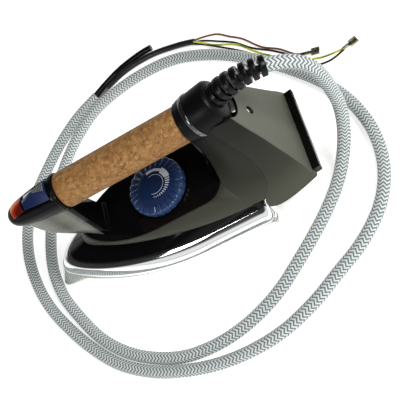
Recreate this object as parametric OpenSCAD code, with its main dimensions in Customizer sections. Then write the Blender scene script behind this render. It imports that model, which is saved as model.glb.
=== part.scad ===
// Clothes iron with a cork grip, a steam button and a braided hose.
// Millimetres, +Z up, toe along +X, origin under the middle of the iron on its sole face.

/* [Sole] */
// Length of the sole from toe to heel
sole_len = 213; // [205:1:225]
// Half of the sole's full width
sole_half_w = 51.5; // [48:0.5:54]
// Height of the polished sole casting
sole_h = 25; // [24:0.5:26]
// Diameter of a steam vent
vent_d = 2.6; // [2:0.1:4]

/* [Body] */
// Height of the skirt's top edge, where the black shell starts
shell_z = 47; // [47:0.5:48]
// Height of the deck around the dial
deck_z = 62; // [61:0.5:63]
// Thickness of moulded walls
wall = 2.4; // [2:0.1:3]

/* [Handle] */
// Height of the grip's axis
grip_z = 120.4; // [119:0.2:122]
// Diameter of the cork grip
cork_d = 28; // [26:0.5:29]
// Length of the cork grip
cork_len = 106; // [104:1:107]
// Diameter of the tube inside the grip
core_d = 20; // [18:0.5:22]

/* [Controls] */
// Diameter of the thermostat dial
dial_d = 48; // [44:1:50]
// Height of the dial above its underside
dial_h = 8; // [6:0.5:9]
// Travel of the steam button
button_travel = 2; // [1:0.25:2.5]

/* [Hose] */
// Diameter of the braided hose
hose_d = 10.2; // [9:0.2:11]
// Diameter of the sleeve over the wires
sleeve_d = 5.6; // [5:0.1:7]
// Diameter of one wire
wire_d = 1.8; // [1.4:0.1:2.2]

/* [Hidden] */

toe_x = 135;                 // the toe's place along X; stations s run back from it
cork_front = 91;             // station of the cork's front end
cork_rear = cork_front + cork_len;
cap_tip = 42;                // station of the front cap's tip
cap_back = 86;               // station where the cap's hollow ends and the grip's tube starts
dial_s = 141;                // station of the dial's axis
dial_z = 63.2;               // underside of the dial
spindle_d = 6;
running_gap = 0.05;          // radial play of a turning or sliding fit
part_gap = 0.3;              // gap at a seam line between two mouldings
housing_r = 16.6;            // radius of the rear housing
housing_end = 229;           // station of the rear housing's end face
panel_foot_s = 253.7;        // station of the rear panel at its foot
panel_foot_z = 43;
panel_slope = 0.277;         // how far the panel leans forward for each mm of height
housing_tilt = 12;           // how far the rear housing rises to the rear, in degrees
housing_knee = 203;          // station where its axis turns upward
relief_rise = 26;            // the strain relief leaves the housing rising by this angle
relief_fall = 20;            // and ends falling by this one
relief_len = 42;
relief_z = 130;              // height of the relief's axis where it leaves the housing
relief_r0 = 9.4;
relief_bend = relief_len / ((relief_rise + relief_fall) * PI / 180);
inlet_s = 202;               // station of the steam inlet
lid_z = sole_h + 1;
lid_t = 2;
lid_top = lid_z + lid_t;
fine = 96;
coarse = 40;

// ---------- shared geometry ----------

function place(s, y, z) = [toe_x - s, y, z];

// Half width of an iron-shaped outline at a distance u behind its toe
function iron_half(u, w, k, e, nose) =
    let (a = w * pow(max(0, 1 - pow(max(0, 1 - u / k), 2)), e))
    min(w, sqrt(a * a + 2 * nose * u * exp(-u / 10)));

// One side of the outline, toe first: stations close together at the toe, then a round corner
function iron_side(s0, s1, w, k, e, nose, rc, n, m) = concat(
    [for (i = [1:n])
        let (u = (s1 - rc - s0) * pow(i / n, 1.7))
        [s0 + u, iron_half(u, w, k, e, nose)]],
    [for (i = [1:m])
        let (a = 90 * i / m)
        [s1 - rc + rc * sin(a), w - rc + rc * cos(a)]]);

// Closed outline, the near side back from the toe and the far side forward again
function iron_outline(s0, s1, w, k, e, nose = 4, rc = 6, n = 18, m = 5) =
    let (side = iron_side(s0, s1, w, k, e, nose, rc, n, m), c = len(side))
    concat([[s0, 0]], side, [for (i = [c - 1:-1:0]) [side[i][0], -side[i][1]]]);

function ring_at(outline, z) = [for (p = outline) place(p[0], p[1], z)];

function flat_ring(outline) = [for (p = outline) [toe_x - p[0], p[1]]];

// Skin of triangles between rings that all have c points
function skin_faces(rings, c, closed) =
    [for (r = [0:(closed ? rings - 1 : rings - 2)], i = [0:c - 1])
        let (r2 = (r + 1) % rings, j = (i + 1) % c)
        each [[r * c + i, r2 * c + j, r * c + j], [r * c + i, r2 * c + i, r2 * c + j]]];

// Flat end of a ring that mirrors about the iron's middle, as a strip from toe to heel.
// A ring with an odd number of points has its first one at the toe.
function end_faces(c, start, up) =
    let (apex = c % 2)
    [for (i = [0:floor(c / 2) - 1 + apex - 1])
        let (
            a = start + i,
            a2 = start + i + 1,
            b = start + (c - i - 1 + apex) % c,
            b2 = start + c - i - 2 + apex)
        each concat(
            [up ? [a, b2, a2] : [a, a2, b2]],
            a == b ? [] : [up ? [a, b, b2] : [a, b2, b]])];

// Solid through a stack of rings, with flat ends
module loft(rings) {
    c = len(rings[0]);
    polyhedron(
        points = [for (r = rings) each r],
        faces = concat(
            skin_faces(len(rings), c, false),
            end_faces(c, 0, false),
            end_faces(c, (len(rings) - 1) * c, true)),
        convexity = 8);
}

// Hollow band whose rings run up outside, over the edge and down inside
module loft_band(rings) {
    c = len(rings[0]);
    polyhedron(
        points = [for (r = rings) each r],
        faces = skin_faces(len(rings), c, true),
        convexity = 8);
}

// Side profile of stations and heights, given a thickness across the iron
module side_plate(profile, half, y0 = 0) {
    translate([0, y0 + half, 0])
        rotate([90, 0, 0])
            linear_extrude(2 * half)
                polygon([for (p = profile) [toe_x - p[0], p[1]]]);
}

// Turned piece along the grip: profile of [station, radius], stations growing to the rear
module turned_x(profile, z = grip_z) {
    translate([toe_x, 0, z])
        rotate([0, -90, 0])
            rotate_extrude($fn = fine)
                polygon([for (p = profile) [p[1], p[0]]]);
}

// Round bar along X between two stations
module bar_x(s0, s1, d, y = 0, z = grip_z) {
    translate([toe_x - s0, y, z])
        rotate([0, -90, 0])
            cylinder(h = s1 - s0, d = d, $fn = fine);
}

// ---------- sole and heating ----------

function sole_ring(z, inset = 0) =
    let (t = z / sole_h)
    ring_at(iron_outline(19 * t + inset * 1.6, sole_len - inset,
        sole_half_w - 2 * t - inset, 135, 0.95 - 0.15 * t, 4, 5.5 + t), z);

module sole_vents() {
    for (k = [0:6])
        for (side = [-1, 1])
            translate([toe_x - 28 - 16 * k, side * (7 + 4.2 * k), -1])
                cylinder(h = 20, d = vent_d, $fn = coarse);
    for (k = [0:3])
        translate([toe_x - 34 - 14 * k, 0, -1])
            cylinder(h = 20, d = vent_d, $fn = coarse);
}

module soleplate() {
    color("gainsboro")
        difference() {
            loft([sole_ring(0, 0.8), sole_ring(0.8), sole_ring(sole_h / 2), sole_ring(sole_h)]);
            translate([0, 0, 12])
                linear_extrude(sole_h)
                    polygon(flat_ring(iron_outline(32, sole_len - 7, 42, 130, 0.85, 4, 8)));
            sole_vents();
        }
}

element_r = 4;
element_y = 27;

module heating_element() {
    color("dimgray") {
        translate([toe_x - 95, 0, 12.5])
            rotate([0, 0, -90])
                rotate_extrude(angle = 180, $fn = fine)
                    translate([element_y, 0])
                        circle(r = element_r, $fn = coarse);
        for (side = [-1, 1])
            bar_x(95, 190, 2 * element_r, side * element_y, 12.5);
        for (side = [-1, 1])
            translate([toe_x - 190, side * element_y, 12.5])
                cylinder(h = 25, d = 4, $fn = coarse);
    }
}

lid_bolts = [[58, 19.8], [58, -19.8], [95, 36], [95, -36], [150, 43], [150, -43],
    [208.2, 20], [208.2, -20]];

function lid_outline(inset) =
    iron_outline(27 + inset, sole_len - 3 - inset, 45.5 - inset, 132, 0.82, 4, 7);

module pin_holes(z, h) {
    for (side = [-1, 1])
        translate([toe_x - 190, side * element_y, z])
            cylinder(h = h, d = 6, $fn = coarse);
}

module chamber_gasket() {
    color("firebrick")
        translate([0, 0, sole_h])
            difference() {
                linear_extrude(lid_z - sole_h)
                    polygon(flat_ring(lid_outline(0)));
                translate([0, 0, -1])
                    linear_extrude(4)
                        polygon(flat_ring(iron_outline(34, sole_len - 8, 40.5, 128, 0.85, 4, 8)));
            }
}

module steam_chamber_lid() {
    color("silver")
        difference() {
            translate([0, 0, lid_z])
                linear_extrude(lid_t)
                    polygon(flat_ring(lid_outline(0.3)));
            pin_holes(lid_z - 1, 5);
        }
}

module lid_screws() {
    color("goldenrod")
        for (p = lid_bolts)
            translate([toe_x - p[0], p[1], 0]) {
                translate([0, 0, sole_h - 7])
                    cylinder(h = lid_top - sole_h + 7, d = 4, $fn = coarse);
                translate([0, 0, lid_top])
                    cylinder(h = 2.6, d = 7, $fn = 6);
            }
}

// ---------- skirt, shield and shell ----------

// Rings of the skirt: toe station, half width, fullness and height
skirt_out = [[19.4, 49.6, 0.80, 25.3], [19.6, 49.9, 0.80, 27.5], [22.5, 48.4, 0.76, 31.5],
    [26.0, 46.3, 0.70, 35.2], [28.6, 44.6, 0.66, 37.2], [32.5, 43.2, 0.68, 38.6],
    [56.0, 40.6, 0.78, 46.6], [58.0, 39.8, 0.78, 46.8]];

function skirt_ring(q, t) =
    ring_at(iron_outline(q[0] + 2 * t, 213 - (q[3] - 25) * 0.12 - t, q[1] - t,
        q[3] > 40 ? 153 : 135, q[2], 4, 8), q[3] - (q[3] > 37 ? t : 0));

module chrome_skirt() {
    color("whitesmoke")
        loft_band(concat(
            [for (q = skirt_out) skirt_ring(q, 0)],
            [for (i = [len(skirt_out) - 1:-1:0]) skirt_ring(skirt_out[i], 1)]));
}

module heat_shield() {
    color("#201d1a")
        difference() {
            translate([0, 0, 42.6])
                linear_extrude(1.4)
                    polygon(flat_ring(iron_outline(54, 206, 37, 150, 0.8, 4, 8)));
            translate([toe_x - dial_s, 0, 40])
                cylinder(h = 8, d = 36, $fn = fine);
            translate([toe_x - inlet_s, 0, 40])
                cylinder(h = 8, d = 12, $fn = coarse);
            for (side = [-1, 1])
                translate([toe_x - 190, side * element_y, 40])
                    cylinder(h = 8, d = 7, $fn = coarse);
        }
}

function ease(t) = let (c = min(1, max(0, t))) c * c * (3 - 2 * c);

// Height of the seam between the shell and the deck
function seam_z(s) = deck_z - 2.2 + 1.2 * ease((s - 68) / 75);

low_edge = iron_outline(57, 212, 42, 155, 0.8, 4, 10);
deck_edge = iron_outline(65, 192, 31.6, 70, 0.64, 4, 16);

function blend(a, b, t) = [for (i = [0:len(a) - 1]) a[i] * (1 - t) + b[i] * t];

// Ring part way up the shell's side, drawn in by d
function shell_ring(t, d) =
    [for (i = [0:len(low_edge) - 1])
        let (
            p = blend(low_edge[i], deck_edge[i], t),
            top = seam_z(deck_edge[i][0]),
            bow = 1.6 * sin(180 * t),
            mid = [135, 0],
            out = (p - mid) / norm(p - mid),
            q = p + (bow - d) * out)
        place(q[0], q[1], shell_z + 0.1 + (top - shell_z) * t)];

// Hood at the rear: [height, front station, front half width, middle station, middle
// half width, rear half width]
hood_rows = [[38, 216, 45.6, 224, 46.6, 38.8], [47, 196, 41.5, 220, 44.6, 37.2],
    [56, 190, 30, 219, 41.6, 34.4], [66, 191, 17, 218, 37.6, 31.4], [80, 193, 11, 217, 32.4, 27.6],
    [94, 195, 9.4, 216, 27.2, 24], [108, 197, 9, 214, 22.6, 21.4], [120, 200, 9, 213, 18.6, 18.4],
    [132, 214, 9, 220, 14.5, 13.2]];

function panel_s(z) = panel_foot_s - (z - panel_foot_z) * panel_slope;

function bez(a, b, c, t) = a * pow(1 - t, 2) + 2 * b * t * (1 - t) + c * t * t;

function hood_side(q, d) =
    let (
        a = [q[1] + d, max(2, q[2] - d)],
        b = [q[3], q[4] * 1.06 - d],
        c = [panel_s(q[0]) - d, max(2, q[5] - d)])
    [for (i = [0:9]) bez(a, b, c, i / 9)];

function hood_ring(q, d, dz = 0) =
    let (side = hood_side(q, d), c = len(side))
    concat(
        [for (p = side) place(p[0], p[1], q[0] + dz)],
        [for (i = [c - 1:-1:0]) place(side[i][0], -side[i][1], q[0] + dz)]);

module hood_shell() {
    difference() {
        loft([for (q = hood_rows) hood_ring(q, 0)]);
        loft([for (i = [0:len(hood_rows) - 2])
            hood_ring(hood_rows[i], wall, i == 0 ? -1 : 0)]);
    }
}

// Seam between shell and rear cover, seen from the side
cover_seam = [[212, 140], [212.5, 122], [216, 108], [220, 94], [223.3, 80], [224.6, 68],
    [222.6, 58], [216, 50], [213, 46], [213, 30]];

module front_of_seam() {
    side_plate(concat(cover_seam, [[150, 30], [150, 140]]), 70);
}

module behind_seam() {
    side_plate(concat([for (p = cover_seam) [p[0] + part_gap, p[1]]], [[280, 30], [280, 140]]), 70);
}

// Room for the rear housing and the strain relief
module housing_room() {
    bar_x(190, housing_knee + 2, 2 * housing_r + 0.2);
    housing_place()
        translate([0, 0, -3])
            cylinder(h = 32, r = housing_r + 0.1, $fn = fine);
    relief_at(0)
        translate([0, 0, -6])
            cylinder(h = 20, r = relief_r0 + 0.3, $fn = fine);
}

module main_shell() {
    color("#2b2b2b") {
        difference() {
            union() {
                loft_band(concat(
                    [for (i = [0:4]) shell_ring(i / 4, 0)],
                    [for (i = [4:-1:0]) shell_ring(i / 4, wall)]));
                intersection() {
                    hood_shell();
                    front_of_seam();
                    translate([-200, -100, shell_z + 0.1])
                        cube([400, 200, 73.2]);
                }
            }
            housing_room();
            side_plate([[150, 46.9], [213, 46.9], [213, 46], [150, 46]], 80);
            // the deck sits in a rebate inside the hood's front
            side_plate([[180, 63], [194.5, 63], [194.5, 58], [180, 58]], 15);
        }
    }
}

module rear_cover() {
    color("#333333")
        difference() {
            intersection() {
                hood_shell();
                behind_seam();
            }
            housing_room();
            translate([toe_x - 225, 0, 98.2])
                rotate([0, -90 - atan(panel_slope), 0])
                    cylinder(h = 30, d = 6.4, $fn = fine);
            side_plate([[205, 37], [214, 37], [214, 47], [205, 47]], 80);
        }
}

module cover_screw() {
    color("silver")
        translate([toe_x - 236.4, 0, 98.8])
            rotate([0, -90 - atan(panel_slope), 0]) {
                translate([0, 0, -2])
                    cylinder(h = 2.4, d = 5.8, $fn = fine);
                translate([0, 0, -14])
                    cylinder(h = 12, d = 3, $fn = coarse);
            }
}

module heel_strip() {
    color("#151515")
        side_plate([[255.4, 37.4], [259.2, 38], [260.2, 39.6], [260.2, 44], [259.6, 44.6],
            [253.8, 43.4]], 36);
}

// ---------- deck, posts and handle ----------

deck_t = 3;

function deck_ring(t, z_down) =
    [for (p = deck_edge)
        let (
            mid = [132, 0],
            q = mid + (p - mid) * t,
            edge = seam_z(p[0]),
            rise = (deck_z - edge) * (1 - pow(t, 3)))
        place(q[0], q[1], edge + rise - z_down)];

module deck_insert() {
    color("#0a0a0a") {
        difference() {
            loft(concat(
                [deck_ring(0.12, deck_t)],
                [for (t = [0.4, 0.7, 0.88]) deck_ring(t, deck_t)],
                [deck_ring(0.985, 2.2), deck_ring(0.985, 0)],
                [for (t = [0.88, 0.7, 0.4, 0.12]) deck_ring(t, 0)]));
            translate([toe_x - dial_s, 0, deck_z - 8])
                cylinder(h = 16, d = 12, $fn = fine);
            post_body();
        }
        // black rear face of the front post, with a crease across the deck at its foot
        difference() {
            loft([for (q = upstand_rows) upstand_ring(q)]);
            bar_x(40, 100, 2 * 14.4);
        }
        difference() {
            side_plate([[187, deck_z - 3], [192, deck_z - 3], [194.6, 94], [196.4, 108],
                [193.6, 108], [191.2, 92]], 8.4);
            bar_x(180, 240, cork_d + 0.4);
        }
    }
}

// Front post: [height, front station, half width at the front, half width at the rear]
post_rows = [[49.5, 71, 4.5, 12.9], [58, 69.5, 4.5, 12.9], [64, 66.5, 5, 12.6], [72, 61, 5.8, 11.9],
    [86, 54, 6.8, 10.6], [100, 50.6, 7.6, 9.2], [116, 50, 8, 8.2]];
post_rear = 84;              // station of the post's rear side

function post_ring(q) =
    let (side = [[q[1], 0.55 * q[2]], [q[1] + 2.5, q[2]], [post_rear, q[3]]])
    concat(
        [for (p = side) place(p[0], p[1], q[0])],
        [for (i = [2:-1:0]) place(side[i][0], -side[i][1], q[0])]);

module post_body() {
    loft([for (q = post_rows) post_ring(q)]);
}

// Its black rear face: [height, half width at the post, rear station, half width there]
upstand_rows = [[56, 12.9, 92.4, 13.6], [deck_z, 12.7, 92, 13.5], [64, 12.6, 89.6, 13.3],
    [68, 12.2, 88.4, 12.8], [86, 10.6, 88, 10.9], [108, 8.6, 88, 8.5]];

function upstand_ring(q) = [
    place(post_rear, q[1], q[0]),
    place(q[2], q[3], q[0]),
    place(q[2], -q[3], q[0]),
    place(post_rear, -q[1], q[0])];

module front_post() {
    color("#303030")
        difference() {
            post_body();
            turned_x(cap_profile);
            bar_x(86, 120, cork_d + 4);
        }
}

cap_profile = [[cap_tip, 0], [42.4, 3.2], [43.8, 5.8], [46, 7.6], [49, 9], [54, 10.4], [62, 11.8],
    [72, 13.1], [82, 14], [88, 14.4], [88, 0]];
cap_hollow = [[56, 0], [56, 7.5], [64, 9.6], [74, 10.9], [82, 11.8], [86, 12], [86, 0]];

module front_cap() {
    color("#050505")
        difference() {
            turned_x(cap_profile);
            turned_x(cap_hollow);
            bar_x(cap_back, 89, core_d + 0.01);
            // well of the button, open above its rim
            translate([0, 0, button_foot - button_travel - 0.8])
                linear_extrude(20)
                    polygon([for (p = well_corners) [toe_x - p[0], p[1]]]);
            translate([toe_x - cap_back, -20, button_rim])
                cube([cap_back - 61.2, 40, 20]);
            // seat of the lens
            lens_room();
        }
}

module lens_room() {
    translate([toe_x - 54.4, 0, grip_z + 11.7])
        rotate([0, 14, 0])
            cube([11.4, 16, 7], center = true);
}

module pilot_lens() {
    color("orangered")
        intersection() {
            turned_x(cap_profile);
            lens_room();
        }
}

module pilot_lamp() {
    color("orange") {
        bar_x(58.5, 61.8, 4);
        translate([toe_x - 58.5, 0, grip_z])
            sphere(d = 4, $fn = coarse);
    }
}

// Thumb button: its flanks lean in from the well's rim to a ridge that opens out into a
// ribbed rest. Rows of station, half width at the rim, half width at the top and height
button_rows = [[61.6, 6.2, 0.8, 132.2], [75.5, 7.9, 1.4, 137], [85.6, 9.2, 4.6, 136.8]];
well_corners = [[61.2, 6.5], [cap_back, 9.6], [cap_back, -9.6], [61.2, -6.5]];
button_foot = 127.8;         // underside of the button at rest
button_rim = 130.3;          // height of the well's rim

function button_ring(q) =
    [for (p = [[-q[1], button_foot], [-q[1], button_rim], [-q[2], q[3]],
        [q[2], q[3]], [q[1], button_rim], [q[1], button_foot]])
        place(q[0], p[0], p[1])];

module steam_button() {
    color("#1b2a5e") {
        loft([for (q = button_rows) button_ring(q)]);
        for (k = [0:4])
            translate([toe_x - 84.4 + 2 * k, 0, 136.8])
                rotate([90, 0, 0])
                    cylinder(h = 7.8 - 1.3 * k, d = 1.3, center = true, $fn = coarse);
        translate([toe_x - 78, 0, 122.6])
            cylinder(h = 5.4, d = 5, $fn = fine);
    }
}

module button_spring() {
    color("silver")
        translate([toe_x - 78, 0, 116])
            difference() {
                cylinder(h = 6.6, d = 4.6, $fn = coarse);
                translate([0, 0, -1])
                    cylinder(h = 9, d = 3.2, $fn = coarse);
            }
}

module switch_plunger() {
    color("ivory")
        translate([toe_x - 68, 0, 123.2])
            cylinder(h = 4.6, d = 2.4, $fn = coarse);
}

module microswitch() {
    color("#3a3a3a") {
        difference() {
            translate([toe_x - 82, -4.5, 111.6])
                cube([20, 9, 12]);
            translate([toe_x - 68, 0, 116])
                cylinder(h = 10, d = 2.4 + 2 * running_gap, $fn = coarse);
            translate([toe_x - 78, 0, 116])
                cylinder(h = 10, d = 5.4, $fn = coarse);
        }
    }
}

module front_collar() {
    color("#0a0a0a")
        turned_x([[88, core_d / 2 + 0.01], [88, 14.7], [89, 15], [89.4, 14.4], [90, 15],
            [91, 14.8], [91, core_d / 2 + 0.01]]);
}

module handle_core() {
    color("dimgray")
        difference() {
            bar_x(cap_back, 214, core_d);
            bar_x(80, 220, core_d - 5);
        }
}

module cork_grip() {
    color("#b07a3e")
        turned_x([[cork_front, core_d / 2 + 0.01], [cork_front, 13], [cork_front + 2.5, cork_d / 2],
            [cork_rear - 0.6, cork_d / 2], [cork_rear, 13.6], [cork_rear, core_d / 2 + 0.01]]);
}

module grip_wiring() {
    color("saddlebrown")
        for (a = [0:120:240])
            bar_x(84, 222, 2.2, 2 * cos(a), grip_z + 2 * sin(a));
}

// Along the rear housing: local +Z runs up and to the rear from the knee
module housing_place() {
    translate([toe_x - housing_knee, 0, grip_z])
        rotate([0, -90 + housing_tilt, 0])
            children();
}

// A place along the strain relief's bend, at angle a from its root; local +Z runs outward
module relief_at(a) {
    translate([toe_x - housing_end, 0, relief_z])
        rotate([0, relief_rise, 0])
            translate([0, 0, -relief_bend])
                rotate([0, -a, 0])
                    translate([0, 0, relief_bend])
                        rotate([0, -90, 0])
                            children();
}

module rear_housing() {
    color("#0a0a0a")
        difference() {
            union() {
                turned_x([[cork_rear + 0.1, 0], [cork_rear + 0.1, 14.6], [cork_rear + 2, 15.4],
                    [housing_knee + 2, 16.2], [housing_knee + 2, 0]]);
                housing_place()
                    rotate_extrude($fn = fine)
                        polygon([[0, -2], [housing_r - 0.6, -2], [housing_r, 0], [housing_r, 23],
                            [housing_r - 1.4, 25.4], [housing_r - 4, 26.6], [0, 26.6]]);
            }
            bar_x(190, 214, core_d + 0.01);
            housing_place()
                translate([0, 0, 6])
                    cylinder(h = 17, r = 13, $fn = fine);
            relief_at(0)
                translate([0, 0, -12])
                    cylinder(h = 20, r = relief_r0 - 2.3, $fn = fine);
            // way down into the rear post
            translate([toe_x - 222, -6, 100])
                cube([9, 12, 20]);
        }
}

module rear_collar() {
    color("#1a1a1a")
        housing_place()
            translate([0, 0, 4])
                rotate_extrude($fn = fine)
                    polygon([[housing_r + 0.01, 0], [17.3, 0], [17.5, 1.8], [17.3, 3],
                        [housing_r + 0.01, 3]]);
}

module cable_clamp() {
    color("darkgray")
        difference() {
            translate([toe_x - 222.6, -9, 112.6])
                cube([7, 18, 4]);
            for (side = [-1, 1])
                translate([toe_x - 219.1, side * 6.4, 110])
                    cylinder(h = 10, d = 3, $fn = coarse);
        }
}

module clamp_screws() {
    color("silver")
        for (side = [-1, 1])
            translate([toe_x - 219.1, side * 6.4, 0]) {
                translate([0, 0, 110])
                    cylinder(h = 6.6, d = 2.9, $fn = coarse);
                translate([0, 0, 116.6])
                    cylinder(h = 1.8, d = 5, $fn = coarse);
            }
}

// ---------- thermostat, steam parts and wiring inside ----------

module thermostat() {
    color("silver")
        translate([toe_x - dial_s, 0, lid_top])
            difference() {
                union() {
                    cylinder(h = 2, d = 34, $fn = fine);
                    cylinder(h = 15, d = 28, $fn = fine);
                    cylinder(h = 26, d = 10, $fn = fine);
                }
                translate([0, 0, 10])
                    cylinder(h = 20, d = spindle_d + 2 * running_gap, $fn = fine);
            }
}

module thermostat_spindle() {
    color("gray")
        translate([toe_x - dial_s, 0, lid_top + 11])
            cylinder(h = dial_z + 5 - lid_top - 11, d = spindle_d, $fn = fine);
}

module thermostat_dial() {
    color("#24407f")
        translate([toe_x - dial_s, 0, dial_z])
            difference() {
                union() {
                    rotate_extrude($fn = fine)
                        polygon([[0, 2.2], [dial_d / 2 - 3, 2.2], [dial_d / 2 - 3, 0],
                            [dial_d / 2, 0], [dial_d / 2, 4.6], [dial_d / 2 - 1.4, 6],
                            [dial_d / 2 - 8, dial_h - 0.6], [dial_d / 2 - 13, dial_h], [0, dial_h]]);
                    cylinder(h = 4, d = 11, $fn = fine);
                }
                translate([0, 0, -1])
                    cylinder(h = 6, d = spindle_d, $fn = fine);
                for (k = [0:23])
                    rotate([0, 0, 15 * k])
                        translate([dial_d / 2 + 0.5, 0, -1])
                            cylinder(h = 12, d = 2, $fn = coarse);
            }
}

module thermal_fuse() {
    color("tan")
        bar_x(88, 104, 5, 18, lid_top + 2.5);
}

module terminal_block() {
    color("ivory")
        translate([toe_x - 244, -15, 60])
            difference() {
                cube([12, 30, 14]);
                for (k = [0:2])
                    translate([6, 6 + 9 * k, 7])
                        cylinder(h = 10, d = 4, $fn = coarse);
            }
}

module steam_inlet() {
    color("goldenrod")
        translate([toe_x - inlet_s, 0, lid_top])
            difference() {
                union() {
                    cylinder(h = 8, d = 12, $fn = 6);
                    cylinder(h = 20, d = 6, $fn = fine);
                }
                translate([0, 0, 2])
                    cylinder(h = 30, d = 3.4, $fn = coarse);
            }
}

tube_d = 8;
tube_turn = 12;              // bend radius of the steam tube

// Quarter turn of the steam tube about a place beside it
module tube_elbow(s, z, start) {
    translate([toe_x - s, 0, z])
        rotate([90, 0, 0])
            rotate([0, 0, start])
                rotate_extrude(angle = 90, $fn = fine)
                    translate([tube_turn, 0])
                        circle(d = tube_d, $fn = coarse);
}

// Rises from the inlet, runs to the rear and rises again behind the shell
module steam_tube() {
    foot = lid_top + 20;
    level = foot + 10 + tube_turn;
    color("white") {
        translate([toe_x - inlet_s, 0, foot])
            difference() {
                cylinder(h = 10, d = tube_d, $fn = fine);
                translate([0, 0, -1])
                    cylinder(h = 20, d = tube_d / 2, $fn = coarse);
            }
        tube_elbow(inlet_s + tube_turn, foot + 10, 0);
        tube_elbow(inlet_s + tube_turn, level + tube_turn, 180);
        translate([toe_x - inlet_s - 2 * tube_turn, 0, level + tube_turn])
            cylinder(h = 12, d = tube_d, $fn = fine);
    }
}

// ---------- hose, sleeve and wires ----------

// Ribbed rubber sleeve that bends down a little under the hose's weight
module strain_relief() {
    color("#0c0c0c")
        difference() {
            union() {
                relief_at(0)
                    translate([0, 0, -0.6])
                        cylinder(h = 4.8, r = relief_r0, $fn = fine);
                for (k = [0:5])
                    relief_at((relief_rise + relief_fall) * (0.17 + 0.148 * k))
                        cylinder(h = 4.4, r1 = relief_r0 - 0.35 * k, r2 = relief_r0 - 0.35 * k - 0.3,
                            $fn = fine);
                relief_tube(relief_r0 - 2.3, -5);
            }
            relief_tube(hose_d / 2 + 0.05, -8);
            // windows between the ribs, on two sides
            for (k = [0:4])
                relief_at((relief_rise + relief_fall) * (0.296 + 0.148 * k))
                    for (side = [-1, 1])
                        translate([0, side * 7, 0])
                            cube([9, 5, 1.8], center = true);
        }
}

// Round bar that follows the strain relief's bend, from start mm past its root
module relief_tube(r, start) {
    turn = relief_rise + relief_fall;
    a0 = turn * start / relief_len;
    translate([toe_x - housing_end, 0, relief_z])
        rotate([0, relief_rise, 0])
            translate([0, 0, -relief_bend])
                rotate([90, 0, 0])
                    rotate([0, 0, 90 + a0])
                        rotate_extrude(angle = turn - a0 + (start < 0 ? 2 : 0), $fn = fine)
                            translate([relief_bend, 0])
                                circle(r = r, $fn = coarse);
}

// Routes of the free cords: each point is the middle of the cord
floor_z = hose_d / 2;
hose_route = [
    [-90.3, 0, 128], [-98.8, 0, 132], [-107.3, 0, 134.4], [-116.5, 0, 135.3], [-126, 0, 134.4],
    [-134.8, 0, 132], [-147.6, 0.5, 123.6], [-155.8, 1, 111], [-158.8, 1.5, 95], [-158.5, 2, 76],
    [-157, 4, 58], [-153, 8.5, 43],
    [-147, 14.5, 30], [-138.5, 23, 18.5], [-128, 33.5, 10], [-116, 45, 6], [-100, 59.5, floor_z],
    [-77, 78, floor_z], [-52, 95.5, floor_z], [-24, 107.5, floor_z], [5, 113, floor_z],
    [35, 111.5, floor_z], [62, 102, floor_z], [86.5, 86.5, floor_z], [106.5, 66, floor_z],
    [122, 41, floor_z], [135, 13.5, floor_z], [140.5, -15, floor_z], [137.5, -45, floor_z],
    [128, -76, floor_z], [112, -105, floor_z], [90, -131, floor_z], [63, -150, floor_z],
    [33, -158, floor_z], [2, -159.5, floor_z], [-28, -155, floor_z], [-56, -142, floor_z],
    [-82, -123.5, floor_z], [-106, -101, floor_z], [-128, -76, floor_z], [-146, -51, floor_z],
    [-159, -23, floor_z], [-165, 7, floor_z], [-162, 38, floor_z], [-149, 65, floor_z],
    [-127, 86, floor_z], [-101, 101, floor_z], [-75, 115, floor_z], [-47, 125, floor_z],
    [-17, 129, floor_z], [13, 127.5, floor_z], [42, 121, floor_z], [69, 110.5, floor_z],
    [94, 94.5, floor_z], [115, 73, floor_z], [133.5, 48, floor_z], [150, 19.5, floor_z],
    [160, -9, floor_z], [164, -39, floor_z], [160, -68, floor_z], [148, -93, floor_z],
    [130, -114.5, floor_z], [108, -136, floor_z], [84, -153, floor_z], [58, -164, floor_z]
];

sleeve_z = sleeve_d / 2;
sleeve_route = [[60, -163.2, 3.6], [49, -168.5, sleeve_z], [22, -176, sleeve_z], [-7, -176, sleeve_z],
    [-34, -169.5, sleeve_z], [-50, -163.5, sleeve_z]];

stub_z = 3;
stub_route = [[60, -163.2, 6.6], [46, -171.5, 5.2], [28, -180.5, stub_z], [6, -184, stub_z],
    [-8, -184, stub_z]];

wire_z = wire_d / 2;
brown_route = [[-46, -166, 2], [-58, -164.5, wire_z], [-72, -159, wire_z], [-82, -149.5, wire_z],
    [-93, -139, wire_z], [-106, -121, wire_z], [-120, -109, wire_z], [-131, -96, wire_z],
    [-138.5, -92, 1.6]];
black_route = [[-46, -164, 2], [-57, -161, wire_z], [-71, -151, wire_z], [-85, -140, wire_z],
    [-98, -125, wire_z], [-113, -112, wire_z], [-122, -103, wire_z], [-130, -94.5, wire_z],
    [-138.5, -90.5, 1.6]];
earth_route = [[-46, -165, 4], [-55, -159, 3], [-68, -148.5, wire_z], [-86, -137, wire_z],
    [-100, -119.5, wire_z], [-111.5, -107, wire_z], [-124, -96, wire_z], [-137, -86, wire_z],
    [-150, -80, wire_z], [-162, -77.5, wire_z], [-169.5, -77, 1.6]];
spare_route = [[-46, -163, 3], [-57, -156.5, wire_z], [-68, -145.5, 2.9], [-83, -133, wire_z],
    [-98, -117.5, wire_z], [-109, -103.5, wire_z], [-119, -95.5, wire_z], [-130, -84.5, wire_z],
    [-142, -76, wire_z], [-156, -73, wire_z], [-169.5, -75.5, 1.6]];

function unit(v) = v / norm(v);

function heading(route, i) =
    unit(route[min(i + 1, len(route) - 1)] - route[max(i - 1, 0)]);

function across(v, t) = unit(v - (v * t) * t);

// Sideways direction at each point, each one following on from the one before
function cord_sides(route) =
    let (last = len(route) - 1)
    [for (i = 0, v = [0, 1, 0]; i <= last; i = i + 1, v = across(v, heading(route, min(i, last))))
        across(v, heading(route, i))];

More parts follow.
